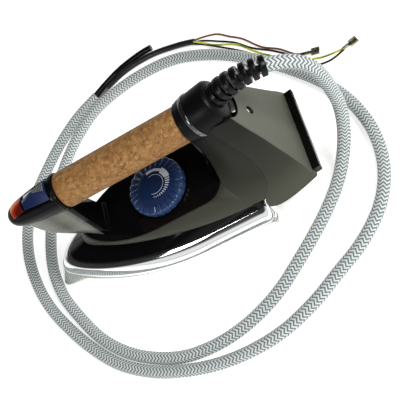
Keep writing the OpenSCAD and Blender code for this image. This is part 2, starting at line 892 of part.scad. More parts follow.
function cord_ring(route, side, i, r, c) =
    let (t = heading(route, i), u = side[i], w = cross(t, u))
    [for (k = [0:c - 1]) route[i] + r * (cos(360 * k / c) * u + sin(360 * k / c) * w)];

module cord(route, d, c = 8) {
    side = cord_sides(route);
    n = len(route);
    polyhedron(
        points = [for (i = [0:n - 1]) each cord_ring(route, side, i, d / 2, c)],
        faces = concat(
            [for (i = [0:n - 2], k = [0:c - 1])
                let (a = i * c + k, b = i * c + (k + 1) % c)
                each [[a, b + c, b], [a, a + c, b + c]]],
            [for (k = [1:c - 2]) [0, k, k + 1]],
            [for (k = [1:c - 2]) (n - 1) * c * [1, 1, 1] + [0, k + 1, k]]),
        convexity = 12);
}

module hose() {
    color("#9aa6b8")
        cord(hose_route, hose_d, 10);
}

module cable_sleeve() {
    color("#26282b")
        cord(sleeve_route, sleeve_d, 10);
}

module steam_hose_stub() {
    color("#18191b")
        cord(stub_route, 2 * stub_z, 10);
}

module wire_brown() {
    color("sienna")
        cord(brown_route, wire_d);
}

module wire_black() {
    color("#141414")
        cord(black_route, wire_d);
}

module wire_earth() {
    color("yellowgreen")
        cord(earth_route, wire_d);
}

module wire_spare() {
    color("#141414")
        cord(spare_route, wire_d);
}

// Push-on terminal: a crimped barrel, a neck and a receptacle with rolled edges
module spade_terminal(x, y, turn) {
    color("silver")
        translate([x, y, 1.6])
            rotate([0, 0, turn]) {
                rotate([0, 90, 0])
                    cylinder(h = 5.5, d = 3.2, $fn = coarse);
                translate([5, -1.4, -1])
                    cube([2.6, 2.8, 1]);
                translate([7, -3.2, -1.2])
                    cube([7, 6.4, 0.9]);
                for (side = [-1, 1])
                    translate([7, side * 2.4, -0.2])
                        rotate([0, 90, 0])
                            cylinder(h = 7, d = 2, $fn = coarse);
            }
}

module spade_terminal_1() {
    spade_terminal(-137.5, -91.4, 163);
}

module spade_terminal_2() {
    spade_terminal(-168.5, -76.2, 193);
}

soleplate();
heating_element();
chamber_gasket();
steam_chamber_lid();
lid_screws();
chrome_skirt();
heat_shield();
main_shell();
deck_insert();
front_post();
thermostat();
thermostat_spindle();
thermostat_dial();
thermal_fuse();
handle_core();
cork_grip();
front_collar();
front_cap();
pilot_lens();
pilot_lamp();
steam_button();
button_spring();
switch_plunger();
microswitch();
grip_wiring();
rear_housing();
rear_collar();
cable_clamp();
clamp_screws();
rear_cover();
cover_screw();
heel_strip();
terminal_block();
steam_inlet();
steam_tube();
strain_relief();
hose();
cable_sleeve();
steam_hose_stub();
wire_brown();
wire_black();
wire_earth();
wire_spare();
spade_terminal_1();
spade_terminal_2();
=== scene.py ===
import math

import bmesh
import bpy
from mathutils import Matrix, Vector


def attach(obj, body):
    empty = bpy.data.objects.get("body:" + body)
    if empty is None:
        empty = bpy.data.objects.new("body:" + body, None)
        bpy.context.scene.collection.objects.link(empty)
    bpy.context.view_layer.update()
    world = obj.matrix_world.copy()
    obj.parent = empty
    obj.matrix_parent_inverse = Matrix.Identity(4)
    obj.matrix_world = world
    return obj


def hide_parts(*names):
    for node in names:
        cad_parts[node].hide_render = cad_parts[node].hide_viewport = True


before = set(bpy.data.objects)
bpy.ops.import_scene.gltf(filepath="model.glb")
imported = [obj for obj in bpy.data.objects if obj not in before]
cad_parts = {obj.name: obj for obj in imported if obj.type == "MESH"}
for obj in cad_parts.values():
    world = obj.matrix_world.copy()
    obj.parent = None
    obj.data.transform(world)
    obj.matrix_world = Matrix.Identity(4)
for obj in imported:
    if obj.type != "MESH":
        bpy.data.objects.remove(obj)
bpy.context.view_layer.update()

MM = 0.001                   # the shapes below are worked out in millimetres
TOE_X = 135                  # stations run back from the toe along -X
GRIP_Z = 120.4               # height of the grip's axis
HOSE_D = 10.2                # diameters of the hose, the sleeve, the steam tube and a wire
SLEEVE_D = 5.6
STUB_D = 6.0
WIRE_D = 1.8

BROWN = (0.2, 0.075, 0.03)
BLACK = (0.012, 0.012, 0.012)

CAMERA_AT = (-0.23314, 0.33475, 0.565)
CAMERA_RIGHT = (-0.84156, 0.24484, -0.4815)
CAMERA_BACK = (-0.31796, 0.49606, 0.80799)
CAMERA_LENS = 75.15


# ---------- camera ----------

def make_camera():
    data = bpy.data.cameras.new("camera")
    data.sensor_width = 36
    data.lens = CAMERA_LENS
    data.clip_start = 0.05
    camera = bpy.data.objects.new("camera", data)
    back = Vector(CAMERA_BACK).normalized()
    up = back.cross(Vector(CAMERA_RIGHT).normalized()).normalized()
    right = up.cross(back)
    turn = Matrix((right, up, back)).transposed().to_4x4()
    camera.matrix_world = Matrix.Translation(CAMERA_AT) @ turn
    bpy.context.scene.collection.objects.link(camera)
    bpy.context.scene.camera = camera


# ---------- materials ----------

def set_stops(node, stops):
    """Gives a color ramp its stops, each a place and a grey value or a color."""
    ramp = node.color_ramp
    while len(ramp.elements) < len(stops):
        ramp.elements.new(0.5)
    for element, (at, value) in zip(ramp.elements, stops):
        element.position = at
        color = value if isinstance(value, tuple) else (value, value, value)
        element.color = (*color, 1)


class Shader:
    """A Principled material with short names for the nodes that drive it."""

    def __init__(self, name, color, rough, metal=0.0, coat=0.0, coat_rough=0.05, spec=0.5, sheen=0.0):
        self.mat = bpy.data.materials.new(name)
        self.mat.use_nodes = True
        self.nodes = self.mat.node_tree.nodes
        self.links = self.mat.node_tree.links
        self.bsdf = self.nodes["Principled BSDF"]
        self.set("Base Color", (*color, 1))
        self.set("Roughness", rough)
        self.set("Metallic", metal)
        self.set("Coat Weight", coat)
        self.set("Coat Roughness", coat_rough)
        self.set("Specular IOR Level", spec)
        self.set("Sheen Weight", sheen)
        self.coords = self.nodes.new("ShaderNodeTexCoord")

    def set(self, socket, value):
        self.bsdf.inputs[socket].default_value = value

    def link(self, source, socket):
        self.links.new(source, self.bsdf.inputs[socket])

    def feed(self, node, index, value):
        if isinstance(value, bpy.types.NodeSocket):
            self.links.new(value, node.inputs[index])
        elif value is not None:
            node.inputs[index].default_value = value

    def math(self, operation, a, b=None, c=None):
        node = self.nodes.new("ShaderNodeMath")
        node.operation = operation
        for index, value in enumerate((a, b, c)):
            self.feed(node, index, value)
        return node.outputs[0]

    def noise(self, scale, detail=4.0, rough=0.5, vector=None, stretch=(1, 1, 1)):
        node = self.nodes.new("ShaderNodeTexNoise")
        node.inputs["Scale"].default_value = scale
        node.inputs["Detail"].default_value = detail
        node.inputs["Roughness"].default_value = rough
        self.links.new(self.scaled(stretch, vector), node.inputs["Vector"])
        return node.outputs["Fac"]

    def cells(self, scale, feature="F1", output="Distance", stretch=(1, 1, 1)):
        node = self.nodes.new("ShaderNodeTexVoronoi")
        node.feature = feature
        node.inputs["Scale"].default_value = scale
        self.links.new(self.scaled(stretch), node.inputs["Vector"])
        return node.outputs[output]

    def scaled(self, stretch, vector=None):
        node = self.nodes.new("ShaderNodeMapping")
        node.inputs["Scale"].default_value = stretch
        self.links.new(vector or self.coords.outputs["Object"], node.inputs["Vector"])
        return node.outputs[0]

    def split(self, output="Object"):
        """The three numbers of a texture coordinate."""
        node = self.nodes.new("ShaderNodeSeparateXYZ")
        self.links.new(self.coords.outputs[output], node.inputs[0])
        return node.outputs

    def ramp(self, source, stops):
        node = self.nodes.new("ShaderNodeValToRGB")
        set_stops(node, stops)
        self.links.new(source, node.inputs[0])
        return node.outputs[0]

    def mix(self, factor, a, b):
        node = self.nodes.new("ShaderNodeMix")
        node.data_type = "RGBA"
        self.feed(node, 0, factor)
        for index, value in ((6, a), (7, b)):
            self.feed(node, index, (*value, 1) if isinstance(value, tuple) else value)
        return node.outputs[2]

    def bump(self, height, distance, strength=1.0):
        node = self.nodes.new("ShaderNodeBump")
        node.inputs["Distance"].default_value = distance
        node.inputs["Strength"].default_value = strength
        self.links.new(height, node.inputs["Height"])
        self.link(node.outputs[0], "Normal")


def smudged(shader, low, high, scale=18):
    """Roughness that varies a little, as handled surfaces do."""
    shader.link(shader.ramp(shader.noise(scale, 5, 0.6), [(0.35, low), (0.7, high)]), "Roughness")


def plain(name, color, rough, low, high, scale, **how):
    """Material of one color, with its roughness between low and high."""
    s = Shader(name, color, rough, **how)
    smudged(s, low, high, scale)
    return s.mat


def chrome():
    return plain("chrome", (0.88, 0.885, 0.89), 0.04, 0.03, 0.075, 18, metal=1)


def polished_sole():
    s = Shader("polished_sole", (0.86, 0.86, 0.83), 0.12, metal=1)
    grain = s.noise(260, 3, 0.6, stretch=(0.06, 1, 1))
    s.link(s.ramp(grain, [(0.3, 0.1), (0.8, 0.2)]), "Roughness")
    s.bump(grain, 0.00003, 0.35)
    return s.mat


def steel():
    return plain("steel", (0.55, 0.54, 0.5), 0.3, 0.22, 0.42, 300, metal=1)


def tinned_brass():
    s = Shader("tinned_terminal", (0.62, 0.59, 0.46), 0.3, metal=1)
    tarnish = s.noise(900, 4)
    s.link(s.ramp(tarnish, [(0.35, (0.66, 0.64, 0.52)), (0.7, (0.4, 0.35, 0.22))]), "Base Color")
    smudged(s, 0.2, 0.45, 500)
    return s.mat


def brass():
    return plain("brass", (0.72, 0.52, 0.22), 0.3, 0.2, 0.4, 200, metal=1)


def by_height(s, low, high):
    """0 at the low height of the part, 1 at the high one, in metres."""
    return s.math("MULTIPLY_ADD", s.split()[2], 1 / (high - low), -low / (high - low))


def moulded(name, low, high, spec, rough, panel=None):
    """Moulded black plastic with a fine grain, with painted light and shade: paler at its foot, dark at its
    top and, if asked, paler on its rear panel.
    """
    s = Shader(name, low, rough, spec=spec)
    # painted light and shade by height: the low colour is the lit foot, the high colour the shaded top
    middle = tuple(0.42 * a + 0.58 * b for a, b in zip(low, high))
    painted_light = s.ramp(by_height(s, 0.045, 0.11), [(0.0, low), (0.3, middle), (1.0, high)])
    if panel:
        # painted light: faces turned rearwards take the lit rear panel colour
        rearward = s.math("MULTIPLY", s.split("Normal")[0], -1.0)
        back = s.ramp(rearward, [(0.84, 0.0), (0.9, 1.0)])
        painted_light = s.mix(back, painted_light, panel)
    fine = s.noise(700, 3)
    s.link(s.mix(s.math("MULTIPLY", fine, 0.3), painted_light, (0.02, 0.02, 0.017)), "Base Color")
    s.bump(s.math("MULTIPLY", s.cells(1500), fine), 0.00003, 0.5)
    smudged(s, rough - 0.04, rough + 0.08)
    return s.mat


def shell_black():
    # foot colour carries painted light, top colour painted shade
    return moulded("moulded_shell", (0.07, 0.072, 0.052), (0.004, 0.004, 0.003), 0.12, 0.42)


def cover_black():
    # foot colour carries painted light, top colour painted shade, last colour the rear panel's painted
    # light
    return moulded("moulded_cover", (0.075, 0.078, 0.056), (0.008, 0.008, 0.006), 0.15, 0.45,
        (0.115, 0.12, 0.09))


def post_grey():
    """Satin post with a painted soft reflection: its side pales and darkens along it."""
    s = Shader("satin_post", (0.1, 0.1, 0.08), 0.3, spec=0.4)
    front, depth = 0.085, 0.036
    along = s.math("MULTIPLY_ADD", s.split()[0], -1 / depth, front / depth)
    # painted reflection: pale bands near both ends of the side, dark between
    pale = (0.17, 0.175, 0.14)
    s.link(s.ramp(along, [(0.0, (0.2, 0.21, 0.17)), (0.25, pale), (0.5, (0.065, 0.068, 0.05)),
        (0.8, pale), (1.0, (0.03, 0.03, 0.024))]), "Base Color")
    smudged(s, 0.26, 0.36)
    return s.mat


def gloss_black():
    s = Shader("gloss_black", (0.0025, 0.0025, 0.003), 0.07, spec=0.13)
    smudged(s, 0.05, 0.12, 26)
    s.bump(s.noise(9, 2), 0.0003, 0.15)
    return s.mat


def satin_black():
    return plain("satin_black", (0.003, 0.003, 0.0035), 0.34, 0.3, 0.44, 40, spec=0.1)


def deep_black():
    return plain("deep_black", (0.001, 0.001, 0.001), 0.85, 0.8, 0.92, 90, spec=0.02)


def ridge_black():
    return plain("polished_ridge", (0.01, 0.01, 0.01), 0.12, 0.1, 0.16, 60, spec=0.9, coat=1.0)


def cork():
    s = Shader("cork", (0.4, 0.21, 0.07), 0.6, spec=0.3)
    grains = s.cells(420, output="Color")
    tint = s.ramp(grains, [(0.1, (0.15, 0.058, 0.014)), (0.45, (0.26, 0.12, 0.032)),
        (0.75, (0.36, 0.19, 0.06)), (0.95, (0.47, 0.29, 0.115))])
    cloud = s.noise(60, 4, 0.6)
    base = s.mix(s.ramp(cloud, [(0.3, 0.15), (0.75, 0.75)]), tint, (0.29, 0.14, 0.04))
    dust = s.mix(s.math("MULTIPLY", s.ramp(s.noise(900, 3, 0.7), [(0.5, 0.0), (0.75, 1.0)]), 0.35),
        base, (0.5, 0.34, 0.15))
    flecks = s.ramp(s.noise(520, 5, 0.65, stretch=(0.55, 1, 1)), [(0.55, 0.0), (0.66, 1.0)])
    spots = s.mix(s.math("MULTIPLY", flecks, 0.75), dust, (0.12, 0.04, 0.012))
    pits = s.ramp(s.noise(230, 3, 0.5), [(0.64, 0.0), (0.7, 1.0)])
    s.link(s.mix(s.math("MULTIPLY", pits, 0.7), spots, (0.09, 0.03, 0.01)), "Base Color")
    seams = s.cells(420, feature="DISTANCE_TO_EDGE")
    height = s.math("SUBTRACT", s.ramp(seams, [(0.0, 0.0), (0.09, 1.0)]), pits)
    s.bump(height, 0.00018, 0.6)
    return s.mat


def blue_plastic():
    # UV is turns round the dial, and the radius as a share of its rim
    s = Shader("translucent_blue", (0.012, 0.03, 0.11), 0.16, spec=0.3, coat=0.15, coat_rough=0.05)
    around, radius, _ = s.split("UV")
    streak = s.noise(60, 4, 0.6, vector=s.coords.outputs["UV"], stretch=(1, 0.05, 1))
    depth = s.math("ADD", radius, s.math("MULTIPLY_ADD", streak, 0.16, -0.08))
    flute = s.math("ABSOLUTE", s.math("SINE", s.math("MULTIPLY", around, 24 * math.pi)))
    face = s.ramp(depth, [(0.0, (0.008, 0.02, 0.06)), (0.55, (0.007, 0.018, 0.062)),
        (0.75, (0.008, 0.022, 0.075)), (0.97, (0.022, 0.05, 0.13))])
    # painted shade in the flute grooves on the dial's face
    groove_shade = s.math("MULTIPLY", s.ramp(flute, [(0.0, 1.0), (0.3, 0.0)]),
        s.ramp(depth, [(0.66, 0.0), (0.74, 0.85)]))
    s.link(s.mix(groove_shade, face, (0.003, 0.008, 0.035)), "Base Color")
    s.set("Subsurface Weight", 0.12)
    s.set("Subsurface Radius", (0.2, 0.4, 1.0))
    s.set("Subsurface Scale", 0.003)
    smudged(s, 0.12, 0.22, 60)
    return s.mat


def button_blue():
    """Dark see-through blue, with a painted glow of light along the foot of the flank."""
    s = Shader("button_blue", (0.012, 0.025, 0.11), 0.14, spec=0.35, coat=0.3)
    # painted light: a bright blue band at the foot of the flank
    glow = s.ramp(by_height(s, 0.1265, 0.1375), [(0.08, (0.04, 0.09, 0.3)), (0.24, (0.007, 0.015, 0.07)),
        (1.0, (0.013, 0.024, 0.075))])
    s.link(s.mix(s.ramp(s.noise(90, 3), [(0.4, 0.0), (0.7, 0.5)]), glow, (0.008, 0.014, 0.06)),
        "Base Color")
    smudged(s, 0.1, 0.2, 80)
    return s.mat


def painted_sheen_ribs():
    # grey colour: painted sheen of light reflected by the blue button's ribs
    return plain("button_ribs", (0.13, 0.14, 0.12), 0.3, 0.22, 0.36, 120, spec=0.5, coat=0.3)


def amber_lens():
    """Red see-through lens with painted light: dark red towards its rear and its +Y side, with a painted
    amber glow towards the tip.
    """
    s = Shader("amber_lens", (0.5, 0.06, 0.01), 0.14, spec=0.35, coat=0.4)
    x, y, _ = s.split()
    across = s.math("MULTIPLY", y, -60)
    along = s.math("MULTIPLY_ADD", x, 60, -4.55)
    mixed = s.math("ADD", s.math("ADD", along, across), s.math("MULTIPLY", s.noise(160, 2), 0.4))
    # painted light and shade: dark red where shaded, amber where lit
    s.link(s.ramp(mixed, [(0.15, (0.09, 0.006, 0.004)), (0.4, (0.34, 0.025, 0.008)),
        (0.62, (0.6, 0.1, 0.02)), (0.9, (0.75, 0.32, 0.09))]), "Base Color")
    smudged(s, 0.1, 0.2, 90)
    return s.mat


def white_print():
    return plain("white_print", (0.5, 0.54, 0.6), 0.4, 0.34, 0.5, 200)


def rubber_black():
    s = Shader("rubber_black", (0.003, 0.003, 0.003), 0.26, spec=0.2)
    smudged(s, 0.2, 0.34, 90)
    s.bump(s.noise(900, 3), 0.00003, 0.5)
    return s.mat


def silicone_red():
    return plain("silicone_red", (0.42, 0.07, 0.04), 0.5, 0.42, 0.6, 90)


def silicone_white():
    return plain("silicone_white", (0.75, 0.75, 0.72), 0.4, 0.34, 0.5, 90)


def ivory():
    return plain("ivory_moulding", (0.74, 0.7, 0.6), 0.45, 0.38, 0.55, 120)


def heat_dark():
    return plain("element_sheath", (0.16, 0.15, 0.14), 0.5, 0.4, 0.65, 120, metal=1)


def insulation(name, color, rough=0.3):
    return plain(name, color, rough, rough - 0.06, rough + 0.1, 220, coat=0.2)


def earth_wire():
    """Green insulation with a yellow stripe that winds slowly round it."""
    s = Shader("earth_wire", (0.6, 0.6, 0.05), 0.3, coat=0.2)
    turns, length, _ = s.split("UV")
    around = s.math("FRACT", s.math("MULTIPLY_ADD", length, 0.035, turns))
    stripe = s.ramp(around, [(0.0, 1.0), (0.6, 1.0), (0.63, 0.0), (0.97, 0.0)])
    s.link(s.mix(stripe, (0.18, 0.32, 0.03), (0.72, 0.68, 0.08)), "Base Color")
    return s.mat


def braid():
    """Chevron braid: pale and grey yarns that zig-zag round the hose. UV is turns, millimetres."""
    s = Shader("braid", (0.6, 0.62, 0.62), 0.75, spec=0.2, sheen=0.3)
    turns, length, _ = s.split("UV")
    zig = s.math("PINGPONG", s.math("MULTIPLY", turns, 12), 1.0)
    lean = s.math("MULTIPLY_ADD", zig, 2.3, length)
    pitch = 3.0
    yarn = s.math("FRACT", s.math("MULTIPLY", lean, 1 / pitch))
    dark = s.ramp(yarn, [(0.0, 0.0), (0.08, 1.0), (0.4, 1.0), (0.48, 0.0), (1.0, 0.0)])
    strand = s.math("FRACT", s.math("MULTIPLY", lean, 2 / pitch))
    crown = s.math("SINE", s.math("MULTIPLY", strand, math.pi))
    valley = s.math("SINE", s.math("MULTIPLY", zig, math.pi))
    height = s.math("MULTIPLY_ADD", valley, 0.6, crown)
    fuzz = s.noise(1400, 3, 0.6)
    pale = s.mix(fuzz, (0.6, 0.64, 0.6), (0.86, 0.89, 0.84))
    grey = s.mix(fuzz, (0.06, 0.09, 0.12), (0.17, 0.22, 0.28))
    tone = s.mix(dark, pale, grey)
    # painted shade in the valleys between strands
    groove_shade = s.ramp(crown, [(0.0, 0.4), (0.4, 0.0)])
    s.link(s.mix(groove_shade, tone, (0.16, 0.18, 0.18)), "Base Color")
    s.bump(height, 0.0005, 0.7)
    return s.mat


def sleeve_black():
    """Heat-shrink sleeve: grey where it is stretched over the braid's end, black beyond."""
    s = Shader("sleeve", BLACK, 0.35)
    along = s.math("MULTIPLY", s.split("UV")[1], 1 / 30)
    s.link(s.ramp(along, [(0.0, (0.2, 0.19, 0.18)), (0.45, (0.14, 0.13, 0.12)),
        (0.52, BLACK)]), "Base Color")
    smudged(s, 0.28, 0.42, 160)
    return s.mat


def floor_white():
    """Pale table, lit from within around the iron and fading out beyond it."""
    s = Shader("pale_floor", (0.9, 0.9, 0.89), 0.7, spec=0.2)
    s.link(s.ramp(s.noise(3, 3), [(0.3, (0.89, 0.89, 0.88)), (0.7, (0.91, 0.91, 0.9))]), "Base Color")
    s.set("Emission Color", (1, 1, 0.985, 1))
    reach = s.nodes.new("ShaderNodeVectorMath")
    reach.operation = "LENGTH"
    s.links.new(s.coords.outputs["Object"], reach.inputs[0])
    glow = s.ramp(reach.outputs["Value"], [(0.3, 0.6), (0.62, 0.14)])
    s.link(glow, "Emission Strength")
    return s.mat


# ---------- mesh helpers ----------

def add_piece(name, verts, faces, material, body="body", slot=None, replaces=(), sharp=40, uvs=None):
    mesh = bpy.data.meshes.new(name)
    mesh.from_pydata([Vector(v) * MM for v in verts], [], faces)
    if uvs:
        layer = mesh.uv_layers.new(name="UVMap")
        for loop in mesh.loops:
            layer.data[loop.index].uv = uvs[loop.vertex_index]
    mesh.update()
    obj = bpy.data.objects.new(name, mesh)
    bpy.context.scene.collection.objects.link(obj)
    return finish_piece(obj, material, body, replaces, sharp)


def finish_piece(obj, material, body, replaces, sharp=40):
    mesh = obj.data
    mesh.materials.clear()
    mesh.materials.append(material)
    mesh.polygons.foreach_set("use_smooth", [True] * len(mesh.polygons))
    mesh.set_sharp_from_angle(angle=math.radians(sharp))
    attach(obj, body)
    if replaces:
        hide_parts(*replaces)
    return obj


def outward(obj):
    bm = bmesh.new()
    bm.from_mesh(obj.data)
    bmesh.ops.recalc_face_normals(bm, faces=bm.faces)
    bm.to_mesh(obj.data)
    bm.free()
    return obj


def rows_faces(rows, count, wrap_rows=False, wrap_count=True, start=0):
    faces = []
    for r in range(rows if wrap_rows else rows - 1):
        for i in range(count if wrap_count else count - 1):
            a = start + r * count + i
            b = start + r * count + (i + 1) % count
            r2 = (r + 1) % rows
            faces.append((a, b, start + r2 * count + (i + 1) % count, start + r2 * count + i))
    return faces


def joined(parts):
    """Points and faces of several meshes as one."""
    verts, faces = [], []
    for more, skins in parts:
        faces += [tuple(i + len(verts) for i in face) for face in skins]
        verts += more
    return verts, faces


def points_of(rings):
    return [v for ring in rings for v in ring]


def rim_faces(rows, width, start=0):
    """Faces that close the two ends of an open wall, its outer rows followed by its inner ones."""
    faces = []
    for edge in (0, width - 1):
        first = start + edge
        for r in range(rows // 2 - 1):
            faces.append(tuple(first + k * width for k in (r, r + 1, rows - 2 - r, rows - 1 - r)))
    return faces


def strip_cap(count, start):
    """Flat end of a ring that mirrors about Y = 0, with its first point at the toe."""
    faces = [(start, start + 1, start + count - 1)]
    for i in range(1, (count - 1) // 2):
        faces.append((start + i, start + i + 1, start + count - i - 1, start + count - i))
    return faces


def place(s, y, z):
    return (TOE_X - s, y, z)


def iron_half(u, w, k, e, nose=4):
    """Half width at u behind the toe: w from k back, of fullness e, with a round nose."""
    a = w * max(0, 1 - max(0, 1 - u / k) ** 2) ** e
    return min(w, math.sqrt(a * a + 2 * nose * u * math.exp(-u / 10)))


def iron_outline(s0, s1, w, k, e, nose=4, rc=6, n=70, m=14):
    """Closed outline from station s0 to s1 in (station, y), with heel corners of radius rc."""
    side = []
    for i in range(1, n + 1):
        u = (s1 - rc - s0) * (i / n) ** 2.0
        side.append((s0 + u, iron_half(u, w, k, e, nose)))
    for i in range(1, m + 1):
        a = math.pi / 2 * i / m
        side.append((s1 - rc + rc * math.sin(a), w - rc + rc * math.cos(a)))
    return [(s0, 0)] + side + [(s, -y) for s, y in reversed(side)]


def ring_at(outline, z):
    return [place(s, y, z) for s, y in outline]


def curve_through(points, steps):
    """Points of a smooth curve through all the given ones, of any number of coordinates."""
    out = []
    last = len(points) - 1
    for i in range(last):
        p0, p1, p2, p3 = (points[max(i - 1, 0)], points[i], points[i + 1], points[min(i + 2, last)])
        for k in range(steps):
            t = k / steps
            out.append(tuple(
                0.5 * (2 * b + (c - a) * t + (2 * a - 5 * b + 4 * c - d) * t * t
                       + (3 * b - a - 3 * c + d) * t ** 3)
                for a, b, c, d in zip(p0, p1, p2, p3)))
    out.append(tuple(points[-1]))
    return out


def revolve(profile, turn, sides=128):
    """Points and faces of a closed profile of (along, radius) turned about the line that turn places."""
    verts = []
    for along, radius in profile:
        for k in range(sides):
            a = 2 * math.pi * k / sides
            verts.append(turn @ Vector((radius * math.cos(a), radius * math.sin(a), along)))
    return verts, rows_faces(len(profile), sides, wrap_rows=True)


def along_grip(tilt=0.0, s=0.0, z=GRIP_Z):
    """Frame whose Z runs to the rear along the grip from station s, rising by tilt degrees."""
    lean = math.radians(tilt)
    rear = Vector((-math.cos(lean), 0, math.sin(lean)))
    side = Vector((0, 1, 0))
    up = rear.cross(side)
    turn = Matrix((side, up, rear)).transposed().to_4x4()
    return Matrix.Translation((TOE_X - s, 0, z)) @ turn


def rounded(profile, radius=0.5, steps=4):
    """Closed polygon with its corners rounded off."""
    out = []
    n = len(profile)
    for i in range(n):
        a, b, c = (Vector(profile[i - 1]), Vector(profile[i]), Vector(profile[(i + 1) % n]))
        r1 = min(radius, (a - b).length / 2.2)
        r2 = min(radius, (c - b).length / 2.2)
        start = b + (a - b).normalized() * r1
        end = b + (c - b).normalized() * r2
        for k in range(steps + 1):
            t = k / steps
            out.append(tuple(start.lerp(b, t).lerp(b.lerp(end, t), t)))
    return out


def bake(obj, tool):
    """Keeps what a modifier makes as a plain mesh."""
    bpy.context.view_layer.update()
    graph = bpy.context.evaluated_depsgraph_get()
    result = bpy.data.meshes.new_from_object(obj.evaluated_get(graph))
    obj.modifiers.remove(tool)
    obj.data = result


def cut(obj, cutter, operation="DIFFERENCE"):
    """Cuts obj with another object and keeps the result as a plain mesh."""
    tool = obj.modifiers.new("cut", "BOOLEAN")
    tool.operation = operation
    tool.solver = "EXACT"
    tool.object = cutter
    bake(obj, tool)
    bpy.data.objects.remove(cutter)


def loose_mesh(name, verts, faces):
    mesh = bpy.data.meshes.new(name)
    mesh.from_pydata([Vector(v) * MM for v in verts], [], faces)
    obj = bpy.data.objects.new(name, mesh)
    bpy.context.scene.collection.objects.link(obj)
    return outward(obj)


def box_mesh(name, low, high):
    verts = [(x, y, z) for x in (low[0], high[0]) for y in (low[1], high[1]) for z in (low[2], high[2])]
    faces = [(0, 1, 3, 2), (4, 6, 7, 5), (0, 4, 5, 1), (2, 3, 7, 6), (0, 2, 6, 4), (1, 5, 7, 3)]
    return loose_mesh(name, verts, faces)


def side_prism(name, profile, half, bevel, material):
    """Side profile of (station, height), given a thickness across the iron and soft edges."""
    n = len(profile)
    verts = [place(s, y, z) for y in (-half, half) for s, z in profile]
    faces = [tuple(range(n)), tuple(reversed(range(n, 2 * n)))]
    faces += [(i, n + i, n + (i + 1) % n, (i + 1) % n) for i in range(n)]
    prism = loose_mesh(name, verts, faces)
    soften(prism, bevel)
    finish_piece(prism, material, "body", ())


def loft_prism(name, rings, heights, bevel, material, replaces=()):
    """Body through closed outlines of (station, y) at given heights, with soft edges."""
    count = len(rings[0])
    verts = [place(s, y, z) for ring, z in zip(rings, heights) for s, y in ring]
    top = len(verts)
    faces = rows_faces(len(rings), count)
    faces += [tuple(range(count)), tuple(reversed(range(top - count, top)))]
    body = loose_mesh(name, verts, faces)
    soften(body, bevel, 3)
    finish_piece(body, material, "body", replaces, 32)


def soften(obj, width, segments=4):
    """Bevels the edges of obj."""
    tool = obj.modifiers.new("edges", "BEVEL")
    tool.width = width * MM
    tool.segments = segments
    tool.limit_method = "ANGLE"
    tool.angle_limit = math.radians(25)
    bake(obj, tool)


# ---------- hose, sleeve and wires ----------

# Routes in millimetres, the same as the cord solids' own
HOSE_ROUTE = [
    (-90.3, 0, 128), (-98.8, 0, 132), (-107.3, 0, 134.4), (-116.5, 0, 135.3), (-126, 0, 134.4),
    (-134.8, 0, 132), (-147.6, 0.5, 123.6), (-155.8, 1, 111), (-158.8, 1.5, 95), (-158.5, 2, 76),
    (-157, 4, 58), (-153, 8.5, 43), (-147, 14.5, 30), (-138.5, 23, 18.5), (-128, 33.5, 10),
    (-116, 45, 6), (-100, 59.5, 5.1), (-77, 78, 5.1), (-52, 95.5, 5.1), (-24, 107.5, 5.1),
    (5, 113, 5.1), (35, 111.5, 5.1), (62, 102, 5.1), (86.5, 86.5, 5.1), (106.5, 66, 5.1),
    (122, 41, 5.1), (135, 13.5, 5.1), (140.5, -15, 5.1), (137.5, -45, 5.1), (128, -76, 5.1),
    (112, -105, 5.1), (90, -131, 5.1), (63, -150, 5.1), (33, -158, 5.1), (2, -159.5, 5.1),
    (-28, -155, 5.1), (-56, -142, 5.1), (-82, -123.5, 5.1), (-106, -101, 5.1), (-128, -76, 5.1),
    (-146, -51, 5.1), (-159, -23, 5.1), (-165, 7, 5.1), (-162, 38, 5.1), (-149, 65, 5.1),
    (-127, 86, 5.1), (-101, 101, 5.1), (-75, 115, 5.1), (-47, 125, 5.1), (-17, 129, 5.1),
    (13, 127.5, 5.1), (42, 121, 5.1), (69, 110.5, 5.1), (94, 94.5, 5.1), (115, 73, 5.1),
    (133.5, 48, 5.1), (150, 19.5, 5.1), (160, -9, 5.1), (164, -39, 5.1), (160, -68, 5.1),
    (148, -93, 5.1), (130, -114.5, 5.1), (108, -136, 5.1), (84, -153, 5.1), (58, -164, 5.1)]
SLEEVE_ROUTE = [(60, -163.2, 3.6), (49, -168.5, 2.8), (22, -176, 2.8), (-7, -176, 2.8),
    (-34, -169.5, 2.8), (-50, -163.5, 2.8)]
STUB_ROUTE = [(60, -163.2, 6.6), (46, -171.5, 5.2), (28, -180.5, 3), (6, -184, 3), (-8, -184, 3)]
BROWN_ROUTE = [(-46, -166, 2), (-58, -164.5, 0.9), (-72, -159, 0.9), (-82, -149.5, 0.9),
    (-93, -139, 0.9), (-106, -121, 0.9), (-120, -109, 0.9), (-131, -96, 0.9), (-138.5, -92, 1.6)]
BLACK_ROUTE = [(-46, -164, 2), (-57, -161, 0.9), (-71, -151, 0.9), (-85, -140, 0.9),
    (-98, -125, 0.9), (-113, -112, 0.9), (-122, -103, 0.9), (-130, -94.5, 0.9), (-138.5, -90.5, 1.6)]
EARTH_ROUTE = [(-46, -165, 4), (-55, -159, 3), (-68, -148.5, 0.9), (-86, -137, 0.9),
    (-100, -119.5, 0.9), (-111.5, -107, 0.9), (-124, -96, 0.9), (-137, -86, 0.9),
    (-150, -80, 0.9), (-162, -77.5, 0.9), (-169.5, -77, 1.6)]
SPARE_ROUTE = [(-46, -163, 3), (-57, -156.5, 0.9), (-68, -145.5, 2.9), (-83, -133, 0.9),
    (-98, -117.5, 0.9), (-109, -103.5, 0.9), (-119, -95.5, 0.9), (-130, -84.5, 0.9),
    (-142, -76, 0.9), (-156, -73, 0.9), (-169.5, -75.5, 1.6)]


